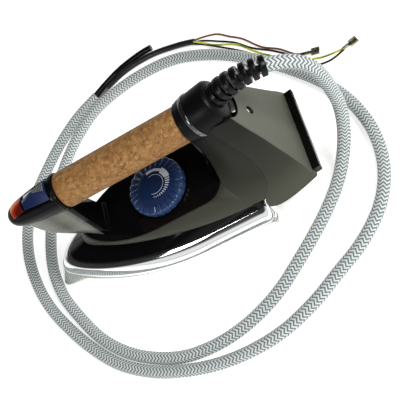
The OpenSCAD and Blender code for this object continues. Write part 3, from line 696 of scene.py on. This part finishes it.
def evenly(points, spacing):
    """The same line with its points evenly spaced."""
    points = [Vector(p) for p in points]
    lengths = [(b - a).length for a, b in zip(points, points[1:])]
    count = max(2, round(sum(lengths) / spacing))
    step = sum(lengths) / count
    out = [points[0].copy()]
    walked = 0.0
    for a, b, length in zip(points, points[1:], lengths):
        while len(out) < count and walked + length >= step * len(out):
            out.append(a.lerp(b, (step * len(out) - walked) / length))
        walked += length
    out.append(points[-1].copy())
    return out


def cord_mesh(name, route, d, material, spacing=2.0, sides=24, **where):
    """Round tube along a route, with UV as turns round it and millimetres along it."""
    line = evenly(curve_through(route, 24), spacing)
    verts, uvs = [], []
    side = Vector((0, 1, 0))
    walked = 0.0
    for i, p in enumerate(line):
        heading = (line[min(i + 1, len(line) - 1)] - line[max(i - 1, 0)]).normalized()
        side = (side - heading * side.dot(heading)).normalized()
        other = heading.cross(side)
        if i:
            walked += (p - line[i - 1]).length
        for k in range(sides + 1):
            a = 2 * math.pi * k / sides
            verts.append(p + (side * math.cos(a) + other * math.sin(a)) * d / 2)
            uvs.append((k / sides, walked))
    faces = rows_faces(len(line), sides + 1, wrap_count=False)
    for end in (0, len(line) - 1):
        start = end * (sides + 1)
        faces.append(tuple(range(start, start + sides)))
    obj = add_piece(name, verts, faces, material, uvs=uvs, sharp=60, **where)
    return obj, line


def make_cords():
    hose, hose_line = cord_mesh("braided_hose", HOSE_ROUTE, HOSE_D, braid(), slot="braid",
        replaces=["hose"])
    sleeve, sleeve_line = cord_mesh("shrink_sleeve", SLEEVE_ROUTE, SLEEVE_D, sleeve_black(),
        slot="rubber", replaces=["cable_sleeve"])
    stub, stub_line = cord_mesh("steam_tube_end", STUB_ROUTE, STUB_D, rubber_black(),
        slot="rubber", replaces=["steam_hose_stub"])
    brown = insulation("brown_insulation", BROWN)
    black = insulation("black_insulation", BLACK)
    wires = [
        ("brown_wire", BROWN_ROUTE, brown, "wire_brown", "wire_brown", "spade_terminal_1"),
        ("black_wire", BLACK_ROUTE, black, "wire_black", "wire_black", "spade_terminal_1"),
        ("earth_wire", EARTH_ROUTE, earth_wire(), "wire_earth", "wire_earth", "spade_terminal_2"),
        ("spare_wire", SPARE_ROUTE, black, "wire_black", "wire_spare", "spade_terminal_2")]
    for name, route, material, slot, node, terminal in wires:
        wire, line = cord_mesh(name, route, WIRE_D, material, 1.2, 12, slot=slot, replaces=[node])


# ---------- sole, skirt and shell ----------

SOLE_H = 25


def sole_ring(z, inset=0.0):
    t = z / SOLE_H
    return ring_at(iron_outline(19 * t + inset * 1.6, 213 - inset, 51.5 - 2 * t - inset, 135,
        0.95 - 0.15 * t, 4, 5.5 + t), z)


def make_sole(material):
    rings = [sole_ring(0, 0.8), sole_ring(0.2, 0.35), sole_ring(0.55, 0.1), sole_ring(1.1)]
    rings += [sole_ring(1.1 + 23.3 * i / 8) for i in range(1, 9)]
    rings += [sole_ring(24.8, 0.15), sole_ring(25, 0.6), sole_ring(25, 5)]
    count = len(rings[0])
    verts = points_of(rings)
    faces = rows_faces(len(rings), count) + strip_cap(count, 0) + strip_cap(count, (len(rings) - 1) * count)
    sole = loose_mesh("sole_casting", verts, faces)
    vents = [(28 + 16 * k, side * (7 + 4.2 * k)) for k in range(7) for side in (-1, 1)]
    vents += [(34 + 14 * k, 0) for k in range(4)]
    vent = [(-1, 0.01), (-1, 2.6), (0, 1.9), (0.9, 1.3), (11, 1.3), (11, 0.01)]
    holes = joined(revolve(vent, Matrix.Translation(place(s, y, 0)), 20) for s, y in vents)
    cut(sole, loose_mesh("vents", *holes))
    finish_piece(sole, material, "body", ["soleplate"], 30)


# Toe station, half width, fullness and height
SKIRT = [(19.4, 49.6, 0.80, 25.3), (19.6, 49.9, 0.80, 27.5), (22.5, 48.4, 0.76, 31.5),
    (26.0, 46.3, 0.70, 35.2), (28.6, 44.6, 0.66, 37.2), (32.5, 43.2, 0.68, 38.6)]
LEDGE = [(32.5, 43.2, 0.68, 38.6), (56.0, 40.6, 0.78, 46.6), (58.0, 39.8, 0.78, 46.8)]


def skirt_ring(q, inset, drop=0.0):
    toe, half, fullness, z = q
    reach = 135 + 18 * min(1, max(0, (z - 38.6) / 8))
    return ring_at(iron_outline(toe + 2 * inset, 213 - (z - 25) * 0.12 - inset, half - inset, reach,
        fullness, 4, 8), z - drop)


def band_piece(name, rings, material, **where):
    count = len(rings[0])
    verts = points_of(rings)
    return outward(add_piece(name, verts, rows_faces(len(rings), count, wrap_rows=True), material,
        **where))


def make_skirt(plated, black):
    """Plated flank with a rolled rim, and the black ledge that runs in from it to the shell."""
    flank = [skirt_ring(q, 0) for q in curve_through(SKIRT, 6)]
    toe, half, fullness, z = SKIRT[-1]
    rim = [skirt_ring((toe + 0.3 * k, half - 0.12 * k, fullness, z + 0.12 * math.sin(k)), 0)
        for k in (1, 2, 3)]
    inner = [skirt_ring(q, 1) for q in reversed(SKIRT)]
    band_piece("plated_skirt", flank + rim + inner, plated, slot="skirt", replaces=["chrome_skirt"],
        sharp=50)
    toe, half, fullness, z = LEDGE[0]
    ledge = [(toe + 0.9, half - 0.4, fullness, z - 0.3)] + curve_through(LEDGE, 8)[1:]
    under = [skirt_ring(q, 0.4, 0.9) for q in reversed(ledge)]
    band_piece("black_ledge", [skirt_ring(q, 0) for q in ledge] + under, black, slot="gloss", sharp=50)


SHELL_Z = 47
DECK_Z = 62
WALL = 2.4


def ease(t):
    c = min(1, max(0, t))
    return c * c * (3 - 2 * c)


def seam_z(s):
    """Height of the seam between shell and deck."""
    return DECK_Z - 2.2 + 1.2 * ease((s - 68) / 75)


LOW_EDGE = iron_outline(57, 212, 42, 155, 0.8, 4, 10)
DECK_EDGE = iron_outline(65, 192, 31.6, 70, 0.64, 4, 16)


def shell_ring(t, d):
    """Ring of the shell's flank, t from 0 at its foot to 1 at the deck, d inside its surface."""
    ring = []
    for low, high in zip(LOW_EDGE, DECK_EDGE):
        p = Vector(low).lerp(Vector(high), t)
        out = (p - Vector((135, 0))).normalized()
        q = p + out * (1.6 * math.sin(math.pi * t) - d)
        ring.append(place(q[0], q[1], SHELL_Z + 0.1 + (seam_z(high[0]) - SHELL_Z) * t))
    return ring


def deck_ring(t, drop):
    """Ring of the crowned deck, t from 0 at its middle to 1 at its edge."""
    ring = []
    for p in DECK_EDGE:
        s = 132 + (p[0] - 132) * t
        edge = seam_z(p[0])
        ring.append(place(s, p[1] * t, edge + (DECK_Z - edge) * (1 - t ** 3) - drop))
    return ring


# Hood at the rear: height, front station, front half width, middle station, middle half width,
# rear half width
HOOD = [(38, 216, 45.6, 224, 46.6, 38.8), (47, 196, 41.5, 220, 44.6, 37.2),
    (56, 190, 30, 219, 41.6, 34.4), (66, 191, 17, 218, 37.6, 31.4), (80, 193, 11, 217, 32.4, 27.6),
    (94, 195, 9.4, 216, 27.2, 24), (108, 197, 9, 214, 22.6, 21.4), (120, 200, 9, 213, 18.6, 18.4),
    (132, 214, 9, 220, 14.5, 13.2)]
# Seam between shell and rear cover: height and station
SEAM = [(30, 213), (46, 213), (50, 216), (58, 222.6), (68, 224.6), (80, 223.3), (94, 220), (108, 216),
    (122, 212.5), (140, 212)]
PANEL_FOOT = (253.7, 43)     # station and height
PANEL_SLOPE = 0.277
HOUSING_S = 203              # station where the rear housing's barrel starts
HOUSING_TILT = 12
SEAM_GAP = 0.12


def between(table, x):
    """Value of a table of (x, value) at x, along straight lines."""
    for (x0, v0), (x1, v1) in zip(table, table[1:]):
        if x <= x1:
            return v0 + (v1 - v0) * max(0, (x - x0) / (x1 - x0))
    return table[-1][1]


def hood_rows(steps=6):
    return curve_through(HOOD, steps)


def panel_s(z):
    return PANEL_FOOT[0] - (z - PANEL_FOOT[1]) * PANEL_SLOPE


def hood_point(q, t, d=0.0):
    """Station and y on the hood's side, t from 0 at its front to 1 at the panel, d inside."""
    a = (q[1] + d, max(2, q[2] - d))
    b = (q[3], q[4] * 1.06 - d)
    c = (panel_s(q[0]) - d, max(2, q[5] - d))
    return tuple(u * (1 - t) ** 2 + 2 * v * t * (1 - t) + w * t * t for u, v, w in zip(a, b, c))


def hood_split(q, station):
    """Where along the hood's side it passes a station, from 0 at the front to 1 at the panel."""
    low, high = 0.0, 1.0
    for _ in range(30):
        middle = (low + high) / 2
        if hood_point(q, middle)[0] < station:
            low = middle
        else:
            high = middle
    return low


def hood_front_ring(q, d, steps=16):
    """Half loop of the shell's part of the hood, from the seam round the front to the other seam."""
    seam = hood_split(q, between(SEAM, q[0]))
    side = [hood_point(q, seam * i / steps, d) for i in range(steps + 1)]
    return [place(s, y, q[0]) for s, y in reversed(side)] + [place(s, -y, q[0]) for s, y in side]


def cover_ring(q, d, steps=14, across=12, corner=2.2):
    """Half loop of the rear cover, from its seam round the panel to the other seam."""
    seam = hood_split(q, between(SEAM, q[0]) + SEAM_GAP)
    side = [hood_point(q, seam + (1 - seam) * i / steps, d) for i in range(steps)]
    end_s, end_y = hood_point(q, 1, d)
    panel = [(end_s, end_y * (1 - 2 * i / across)) for i in range(across + 1)]
    edge = Vector(panel[0])
    start = edge + (Vector(side[-1]) - edge).normalized() * corner
    end = Vector((end_s, end_y - corner))
    turn = [tuple(start.lerp(edge, k / 6).lerp(edge.lerp(end, k / 6), k / 6)) for k in range(7)]
    half = side[:-1] + turn
    return [place(s, y, q[0]) for s, y in half + panel[1:-1] + [(s, -y) for s, y in reversed(half)]]


def make_shell(material):
    steps = 12
    rings = [shell_ring(i / steps, 0) for i in range(steps + 1)]
    rings += [shell_ring(i / 4, WALL) for i in range(4, -1, -1)]
    count = len(rings[0])
    verts = points_of(rings)
    faces = rows_faces(len(rings), count, wrap_rows=True)
    hood = [q for q in hood_rows() if 47.1 <= q[0] <= 120.3]
    outer = [hood_front_ring(q, 0) for q in hood]
    inner = [hood_front_ring(q, WALL) for q in reversed(hood)]
    start = len(verts)
    verts += points_of(outer + inner)
    width = len(outer[0])
    faces += rows_faces(len(outer) * 2, width, wrap_rows=True, wrap_count=False, start=start)
    faces += rim_faces(len(outer) * 2, width, start)
    outward(add_piece("body_shell", verts, faces, material, slot="shell", replaces=["main_shell"],
        sharp=48))


def make_cover(material):
    rows = [q for q in hood_rows() if q[0] <= 124]
    outer = [cover_ring(q, 0) for q in rows]
    inner = [cover_ring(q, WALL) for q in reversed(rows)]
    width = len(outer[0])
    verts = points_of(outer + inner)
    faces = rows_faces(len(outer) * 2, width, wrap_rows=True, wrap_count=False)
    faces += rim_faces(len(outer) * 2, width)
    cover = loose_mesh("back_cover", verts, faces)
    square = Matrix.Rotation(-math.pi / 2 - math.atan(PANEL_SLOPE), 4, "Y")
    screw = Matrix.Translation(place(232, 0, 98.2)) @ square
    housing = along_grip(HOUSING_TILT, HOUSING_S)
    for name, radius, turn, sides in (("screw_hole", 3.2, screw, 48), ("housing_room", 16.9, housing, 96)):
        rod = [(-4, 0.01), (-4, radius), (30, radius), (30, 0.01)]
        cut(cover, loose_mesh(name, *revolve(rod, turn, sides)))
    finish_piece(cover, material, "body", ["rear_cover"], 38)


# Front post: height, front station, half width at the front and at the rear
POST = [(49.6, 71, 4.5, 12.8), (58, 69.5, 4.5, 12.8), (64, 66.5, 5, 12.5), (72, 61, 5.8, 11.8),
    (86, 54, 6.8, 10.5), (100, 50.6, 7.6, 9.1), (115.9, 50.1, 8, 8.1)]
# Black face behind it: height, half width at the post, rear station and half width there
UPSTAND = [(56.2, 12.8, 92.3, 13.5), (62, 12.6, 91.9, 13.4), (64, 12.5, 89.5, 13.2),
    (68, 12.1, 88.3, 12.7), (86, 10.5, 87.9, 10.8), (107.8, 8.5, 87.9, 8.4)]
REAR_UPSTAND = [(187, 59), (192, 59), (193.3, 72), (194.6, 90), (196.4, 107.5), (193.6, 107.5),
    (191.6, 92), (190.4, 80), (189, 70), (186.5, 64), (183, 61.2)]
POST_REAR = 84


def post_outline(front, half, rear_half):
    side = [(front, 0.55 * half), (front + 2.5, half), (POST_REAR + 0.1, rear_half)]
    return side + [(s, -y) for s, y in reversed(side)]


def upstand_outline(front_half, rear, rear_half):
    side = [(POST_REAR, front_half), (rear, rear_half)]
    return side + [(s, -y) for s, y in reversed(side)]


def make_post(material):
    rows = curve_through(POST, 3)
    loft_prism("front_post_moulding", [post_outline(*q[1:]) for q in rows], [q[0] for q in rows],
        0.7, material, ["front_post"])


def make_deck(material):
    rings = [deck_ring(t, 0) for t in (0.02, 0.12, 0.25, 0.4, 0.55, 0.7, 0.8, 0.88, 0.94, 0.97)]
    rings += [deck_ring(0.98, 0.1), deck_ring(0.985, 0.4), deck_ring(0.985, 2.2), deck_ring(0.6, 2.6)]
    count = len(rings[0])
    verts = points_of(rings)
    faces = rows_faces(len(rings), count) + strip_cap(count, 0)
    outward(add_piece("deck_moulding", verts, faces, material, slot="gloss",
        replaces=["deck_insert"], sharp=35))
    loft_prism("front_upstand", [upstand_outline(*q[1:]) for q in UPSTAND], [q[0] for q in UPSTAND],
        0.5, material)
    side_prism("rear_upstand", REAR_UPSTAND, 8.4, 0.8, material)
    for k, station in enumerate((91.6, 93.6)):
        ridge = [place(station, y, DECK_Z + 0.15 - 0.02 * k) for y in range(-13, 14)]
        cord_mesh("deck_ridge_%d" % (k + 1), ridge, 0.8, ridge_black(), spacing=1.0, sides=12, slot="gloss")


# ---------- grip, cap, housing and relief ----------

def make_cork(material):
    profile = [(91, 10), (91, 12.4), (91.5, 13.1), (92.4, 13.7), (94, 14)]
    profile += [(94 + 101.4 * i / 60, 14) for i in range(1, 61)]
    profile += [(196.3, 13.8), (197, 13.2), (197, 10)]
    verts, faces = revolve(profile, along_grip(), 160)
    outward(add_piece("cork_sleeve", verts, faces, material, slot="cork", replaces=["cork_grip"]))


# Profiles are (station, radius); the button's rows are station, half width at the rim and at the
# top, and height
CAP = [(42, 0.01), (42.1, 1.7), (42.4, 3.2), (43, 4.6), (43.8, 5.8), (46, 7.6), (49, 9), (54, 10.4),
    (62, 11.8), (72, 13.1), (82, 14), (87.4, 14.4), (88, 14.1)]
BUTTON = [(61.7, 6.1, 0.9, 132.1), (75.5, 7.8, 1.5, 137.0), (85.6, 9.1, 4.6, 136.9)]
BUTTON_FOOT = 127.8
BUTTON_RIM = 130.3
WELL_FRONT = (61.2, 6.5)     # station and half width of the button's well
WELL_BACK = (86, 9.6)


LENS_AT = (54.4, 0, 132.1)   # station, y and height of the middle of the lens's seat
LENS_HALF = (5.7, 8, 3.5)
LENS_TILT = 14


def lens_box(name, grow=0.0):
    """Tilted box that cuts the lens out of the cap's own shape."""
    size = [half + grow for half in LENS_HALF]
    obj = box_mesh(name, [-v for v in size], size)
    turn = Matrix.Rotation(math.radians(LENS_TILT), 4, "Y")
    obj.matrix_world = Matrix.Translation(Vector(place(*LENS_AT)) * MM) @ turn
    bpy.context.view_layer.update()
    return obj


def make_cap(gloss, lens):
    profile = curve_through(CAP, 4) + [(88, 11.8), (80, 11), (60, 8), (56, 0.01)]
    verts, faces = revolve(profile, along_grip(), 160)
    cap = loose_mesh("cap_moulding", verts, faces)
    (front, front_half), (back, back_half) = WELL_FRONT, WELL_BACK
    corners = [(front, front_half), (back, back_half), (back, -back_half), (front, -front_half)]
    verts = [place(s, y, z) for z in (125, 150) for s, y in corners]
    faces = [(0, 1, 2, 3), (4, 7, 6, 5)] + [(i, (i + 1) % 4, 4 + (i + 1) % 4, 4 + i) for i in range(4)]
    cut(cap, loose_mesh("button_well", verts, faces))
    cut(cap, box_mesh("above_rim", place(back, -20, BUTTON_RIM), place(front, 20, 150)))
    cut(cap, lens_box("lens_seat", 0.1))
    finish_piece(cap, gloss, "body", ["front_cap"], 35)
    bulge = [(s, r + (0.2 if r > 1 else 0)) for s, r in curve_through(CAP, 4)] + [(88, 0.01)]
    window = loose_mesh("lamp_lens", *revolve(bulge, along_grip(), 160))
    cut(window, lens_box("lens_shape"), "INTERSECT")
    soften(window, 0.25, 3)
    finish_piece(window, lens, "body", ["pilot_lens"], 35)
    collar = rounded([(88.1, 12), (88.1, 14.6), (89.2, 15), (89.5, 14.3), (89.8, 15), (91, 14.9),
        (91, 12)], 0.35)
    outward(add_piece("grip_collar", *revolve(collar, along_grip(), 128), gloss, slot="gloss",
        replaces=["front_collar"]))


def make_button(side_material, top_material):
    """Key whose flanks lean in to a ridge, with ribs across the rest where the ridge opens out."""
    verts = []
    for s, foot, top, z in BUTTON:
        verts += [place(s, y, h) for y, h in ((-foot, BUTTON_FOOT), (-foot, BUTTON_RIM), (-top, z),
            (top, z), (foot, BUTTON_RIM), (foot, BUTTON_FOOT))]
    faces = rows_faces(3, 6) + [(0, 1, 2, 3, 4, 5), (12, 17, 16, 15, 14, 13)]
    key = loose_mesh("button_key", verts, faces)
    soften(key, 0.55, 4)
    finish_piece(key, side_material, "button", ["steam_button"], 28)
    verts, faces = [], []
    for k in range(7):
        s = 84.7 - 1.45 * k
        half = between([(75.5, 1.5), (85.6, 4.6)], s) - 0.35
        start = len(verts)
        for i in range(11):
            y = half * (2 * i / 10 - 1)
            crown = 0.62 * (1 - abs(2 * i / 10 - 1) ** 4)
            for a in range(9):
                angle = math.pi * a / 8
                verts.append((TOE_X - s + 0.5 * math.cos(angle), y, 136.82 + crown * math.sin(angle)))
        faces += rows_faces(11, 9, wrap_count=False, start=start)
    outward(add_piece("button_ribs", verts, faces, top_material, body="button", slot="blue", sharp=60))


def make_housing(material):
    neck = [(197.1, 10), (197.1, 14.6), (197.7, 15.2), (199, 15.5), (205, 16.2), (207, 16.2), (207, 10)]
    barrel = [(-1, 8), (-1, 15.6), (-0.3, 16.3), (1, 16.6), (22.6, 16.6), (24, 16), (25.4, 14.8),
        (26.6, 12.6), (26.6, 7)]
    tilted = along_grip(HOUSING_TILT, HOUSING_S)
    verts, faces = joined([revolve(neck, along_grip(), 128), revolve(barrel, tilted, 128)])
    outward(add_piece("tail_housing", verts, faces, material, slot="gloss",
        replaces=["rear_housing"], sharp=30))
    ring = rounded([(4, 16.2), (4, 17.3), (5.8, 17.5), (7, 17.3), (7, 16.2)], 0.35)
    outward(add_piece("housing_ring", *revolve(ring, tilted, 128), ridge_black(), slot="gloss",
        replaces=["rear_collar"]))


RELIEF_ROOT = (229, 130)     # station and height
RELIEF_RISE = 26             # degrees above level at its root
RELIEF_FALL = 20             # degrees below level at its end
RELIEF_LEN = 42
RELIEF_BORE = 5.15
RIBS = 6
RIB_STEP = 0.148             # share of the length from one rib to the next


def relief_frame(t):
    """Frame on the strain relief's bend, t from 0 at its root to 1 at its end, Z outward."""
    bend = RELIEF_LEN / math.radians(RELIEF_RISE + RELIEF_FALL)
    rise = math.radians(RELIEF_RISE)
    lean = rise - math.radians(RELIEF_RISE + RELIEF_FALL) * t
    s = RELIEF_ROOT[0] + bend * (math.sin(rise) - math.sin(lean))
    z = RELIEF_ROOT[1] + bend * (math.cos(lean) - math.cos(rise))
    return along_grip(math.degrees(lean), s, z)


def relief_bar(k, middle):
    """Bar that joins rib k to the one before it, at an angle round the hose."""
    verts = []
    for t in (0.05, 0.116, 0.18):
        for r in (RELIEF_BORE, 6.9 - 0.15 * k):
            for turn in (-24, 24):
                a = math.radians(middle + turn)
                across = Vector((r * math.cos(a), r * math.sin(a), 0))
                verts.append(relief_frame(t + RIB_STEP * k) @ across)
    faces = [(0, 1, 3, 2), (8, 10, 11, 9)]
    for j in (0, 4):
        faces += [(j, j + 4, j + 5, j + 1), (j + 2, j + 3, j + 7, j + 6), (j, j + 2, j + 6, j + 4),
            (j + 1, j + 5, j + 7, j + 3)]
    return verts, faces


def relief_rib(k):
    radius = 9.3 - 0.35 * k
    rib = [(-2.15, RELIEF_BORE), (-2.15, radius - 0.1), (2.15, radius - 0.35), (2.15, RELIEF_BORE)]
    return revolve(rounded(rib, 0.9), relief_frame(0.19 + RIB_STEP * k), 64)


def make_relief(material):
    root = rounded([(-5, 5.2), (-5, 9.4), (2.4, 9.3), (4.2, 8.8), (4.2, 5.2)], 0.9)
    parts = [revolve(root, relief_frame(0), 64)] + [relief_rib(k) for k in range(RIBS)]
    parts += [relief_bar(k, middle) for k in range(RIBS) for middle in (-42, 138)]
    verts, faces = joined(parts)
    outward(add_piece("bend_relief", verts, faces, material, slot="rubber",
        replaces=["strain_relief"], sharp=45))


# ---------- dial ----------

DIAL_S = 141                 # station of the dial's axis
DIAL_Z = 63.2                # height of its underside
DIAL_R = 24
FLUTES = 24
PRINT_LEVELS = (7.7, 8.06)   # underside and top of the print above the dial's underside


def on_dial(r, a, z):
    return (TOE_X - DIAL_S + r * math.cos(a), r * math.sin(a), DIAL_Z + z)


def make_knob(material):
    """Fluted knob: its rim swells between the flutes, and its face is a shallow dome."""
    profile = [(23.3, 2.2), (23.4, 1.0), (23.9, 0.2), (DIAL_R, 1.2), (DIAL_R, 4.2), (23.7, 5.2),
        (22.8, 6), (20, 6.6), (16, 7.3), (13.6, 7.8), (12.6, 8), (8, 8), (0.01, 8)]
    sides = 12 * FLUTES
    verts, uvs = [], []
    for radius, z in curve_through(profile, 3):
        for k in range(sides + 1):
            a = 2 * math.pi * k / sides
            flute = abs(math.sin(FLUTES / 2 * a)) ** 0.6
            depth = 0.5 * ease((radius - 15.5) / 6) * (1 - flute)
            drop = 0.7 * ease((radius - 14.5) / 4) * (1 - flute) if z > 4.6 else 0
            verts.append(on_dial(radius - depth, a, z - drop))
            uvs.append((k / sides, radius / DIAL_R))
    faces = rows_faces(len(verts) // (sides + 1), sides + 1, wrap_count=False)
    outward(add_piece("dial_knob", verts, faces, material, body="dial", slot="blue",
        replaces=["thermostat_dial"], sharp=70, uvs=uvs))


def stroke(r0, r1, a0, a1, steps=3):
    """Printed stroke between two radii and two angles."""
    verts, faces = [], []
    for i in range(steps + 1):
        a = math.radians(a0 + (a1 - a0) * i / steps)
        verts += [on_dial(r, a, z) for r in (r0, r1) for z in PRINT_LEVELS]
    end = 4 * steps
    for j in range(0, end, 4):
        faces += [(j + 1, j + 3, j + 7, j + 5), (j, j + 1, j + 5, j + 4), (j + 2, j + 6, j + 7, j + 3),
            (j, j + 4, j + 6, j + 2)]
    faces += [(0, 2, 3, 1), (end, end + 1, end + 3, end + 2)]
    return verts, faces


def make_print(material):
    """Scale on the dial's face: a thin ring, ticks that grow, a block and a crescent."""
    strokes = [stroke(8.0, 8.35, 62, 290, 60)]
    for k in range(13):
        size = k / 12
        strokes.append(stroke(10.2, 11.2 + 3.0 * size, 76 + 9.0 * k, 78.4 + 9.0 * k + 2.4 * size))
    strokes += [stroke(9.6, 14.4, 190, 226, 12), stroke(11, 13.2, 226, 290, 20)]
    verts, faces = joined(strokes)
    outward(add_piece("dial_scale", verts, faces, material, body="dial", slot="blue", sharp=30))


# ---------- other parts, floor and lights ----------

def paint(names, material):
    """Gives CAD nodes that have no finer piece their material."""
    for name in names.split():
        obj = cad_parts[name]
        obj.data.materials.clear()
        obj.data.materials.append(material)


def make_stage():
    mesh = bpy.data.meshes.new("floor")
    size = 4.0
    mesh.from_pydata([(-size, -size, 0), (size, -size, 0), (size, size, 0), (-size, size, 0)], [],
        [(0, 1, 2, 3)])
    floor = bpy.data.objects.new("floor", mesh)
    floor.data.materials.append(floor_white())
    floor.location.z = -0.0002
    bpy.context.scene.collection.objects.link(floor)


LIGHT_AIM = (0, 0, 0.05)


def area_light(name, stand, size, power):
    data = bpy.data.lights.new(name, "AREA")
    data.shape = "RECTANGLE"
    data.size, data.size_y = size
    data.energy = power
    light = bpy.data.objects.new(name, data)
    light.location = stand
    light.rotation_euler = (Vector(LIGHT_AIM) - Vector(stand)).to_track_quat("-Z", "Y").to_euler()
    bpy.context.scene.collection.objects.link(light)


def make_lights():
    """Pale horizon, dark overhead, a key light from the rear and a weak fill from the side."""
    world = bpy.data.worlds.new("studio")
    bpy.context.scene.world = world
    world.use_nodes = True
    nodes, links = world.node_tree.nodes, world.node_tree.links
    coords = nodes.new("ShaderNodeTexCoord")
    split = nodes.new("ShaderNodeSeparateXYZ")
    ramp = nodes.new("ShaderNodeValToRGB")
    links.new(coords.outputs["Generated"], split.inputs[0])
    links.new(split.outputs[2], ramp.inputs[0])
    set_stops(ramp, [(0.0, 0.9), (0.26, 0.8), (0.42, 0.05), (1.0, 0.015)])
    links.new(ramp.outputs[0], nodes["Background"].inputs[0])
    nodes["Background"].inputs[1].default_value = 1.0
    area_light("key", (-1.0, 0.35, 1.2), (0.6, 0.5), 20)
    area_light("fill", (0.5, 0.9, 0.9), (0.5, 0.4), 5)
    bpy.context.scene.view_settings.view_transform = "Standard"


make_camera()
make_cords()

chrome_finish = chrome()
gloss = gloss_black()
rubber = rubber_black()

make_sole(polished_sole())
make_skirt(chrome_finish, gloss)
make_shell(shell_black())
make_cover(cover_black())
make_deck(gloss)
make_post(post_grey())
make_cork(cork())
make_cap(gloss, amber_lens())
make_button(button_blue(), painted_sheen_ribs())
make_housing(satin_black())
make_relief(rubber)
make_knob(blue_plastic())
make_print(white_print())

paint("heating_element", heat_dark())
paint("steam_chamber_lid thermostat thermostat_spindle button_spring cable_clamp clamp_screws", steel())
paint("lid_screws steam_inlet", brass())
paint("chamber_gasket", silicone_red())
paint("heat_shield handle_core heel_strip", rubber)
paint("cover_screw", deep_black())
paint("thermal_fuse switch_plunger terminal_block", ivory())
paint("microswitch", gloss)
paint("pilot_lamp", amber_lens())
paint("grip_wiring", insulation("inner_wiring", BROWN))
paint("steam_tube", silicone_white())
paint("spade_terminal_1 spade_terminal_2", tinned_brass())

make_stage()
make_lights()
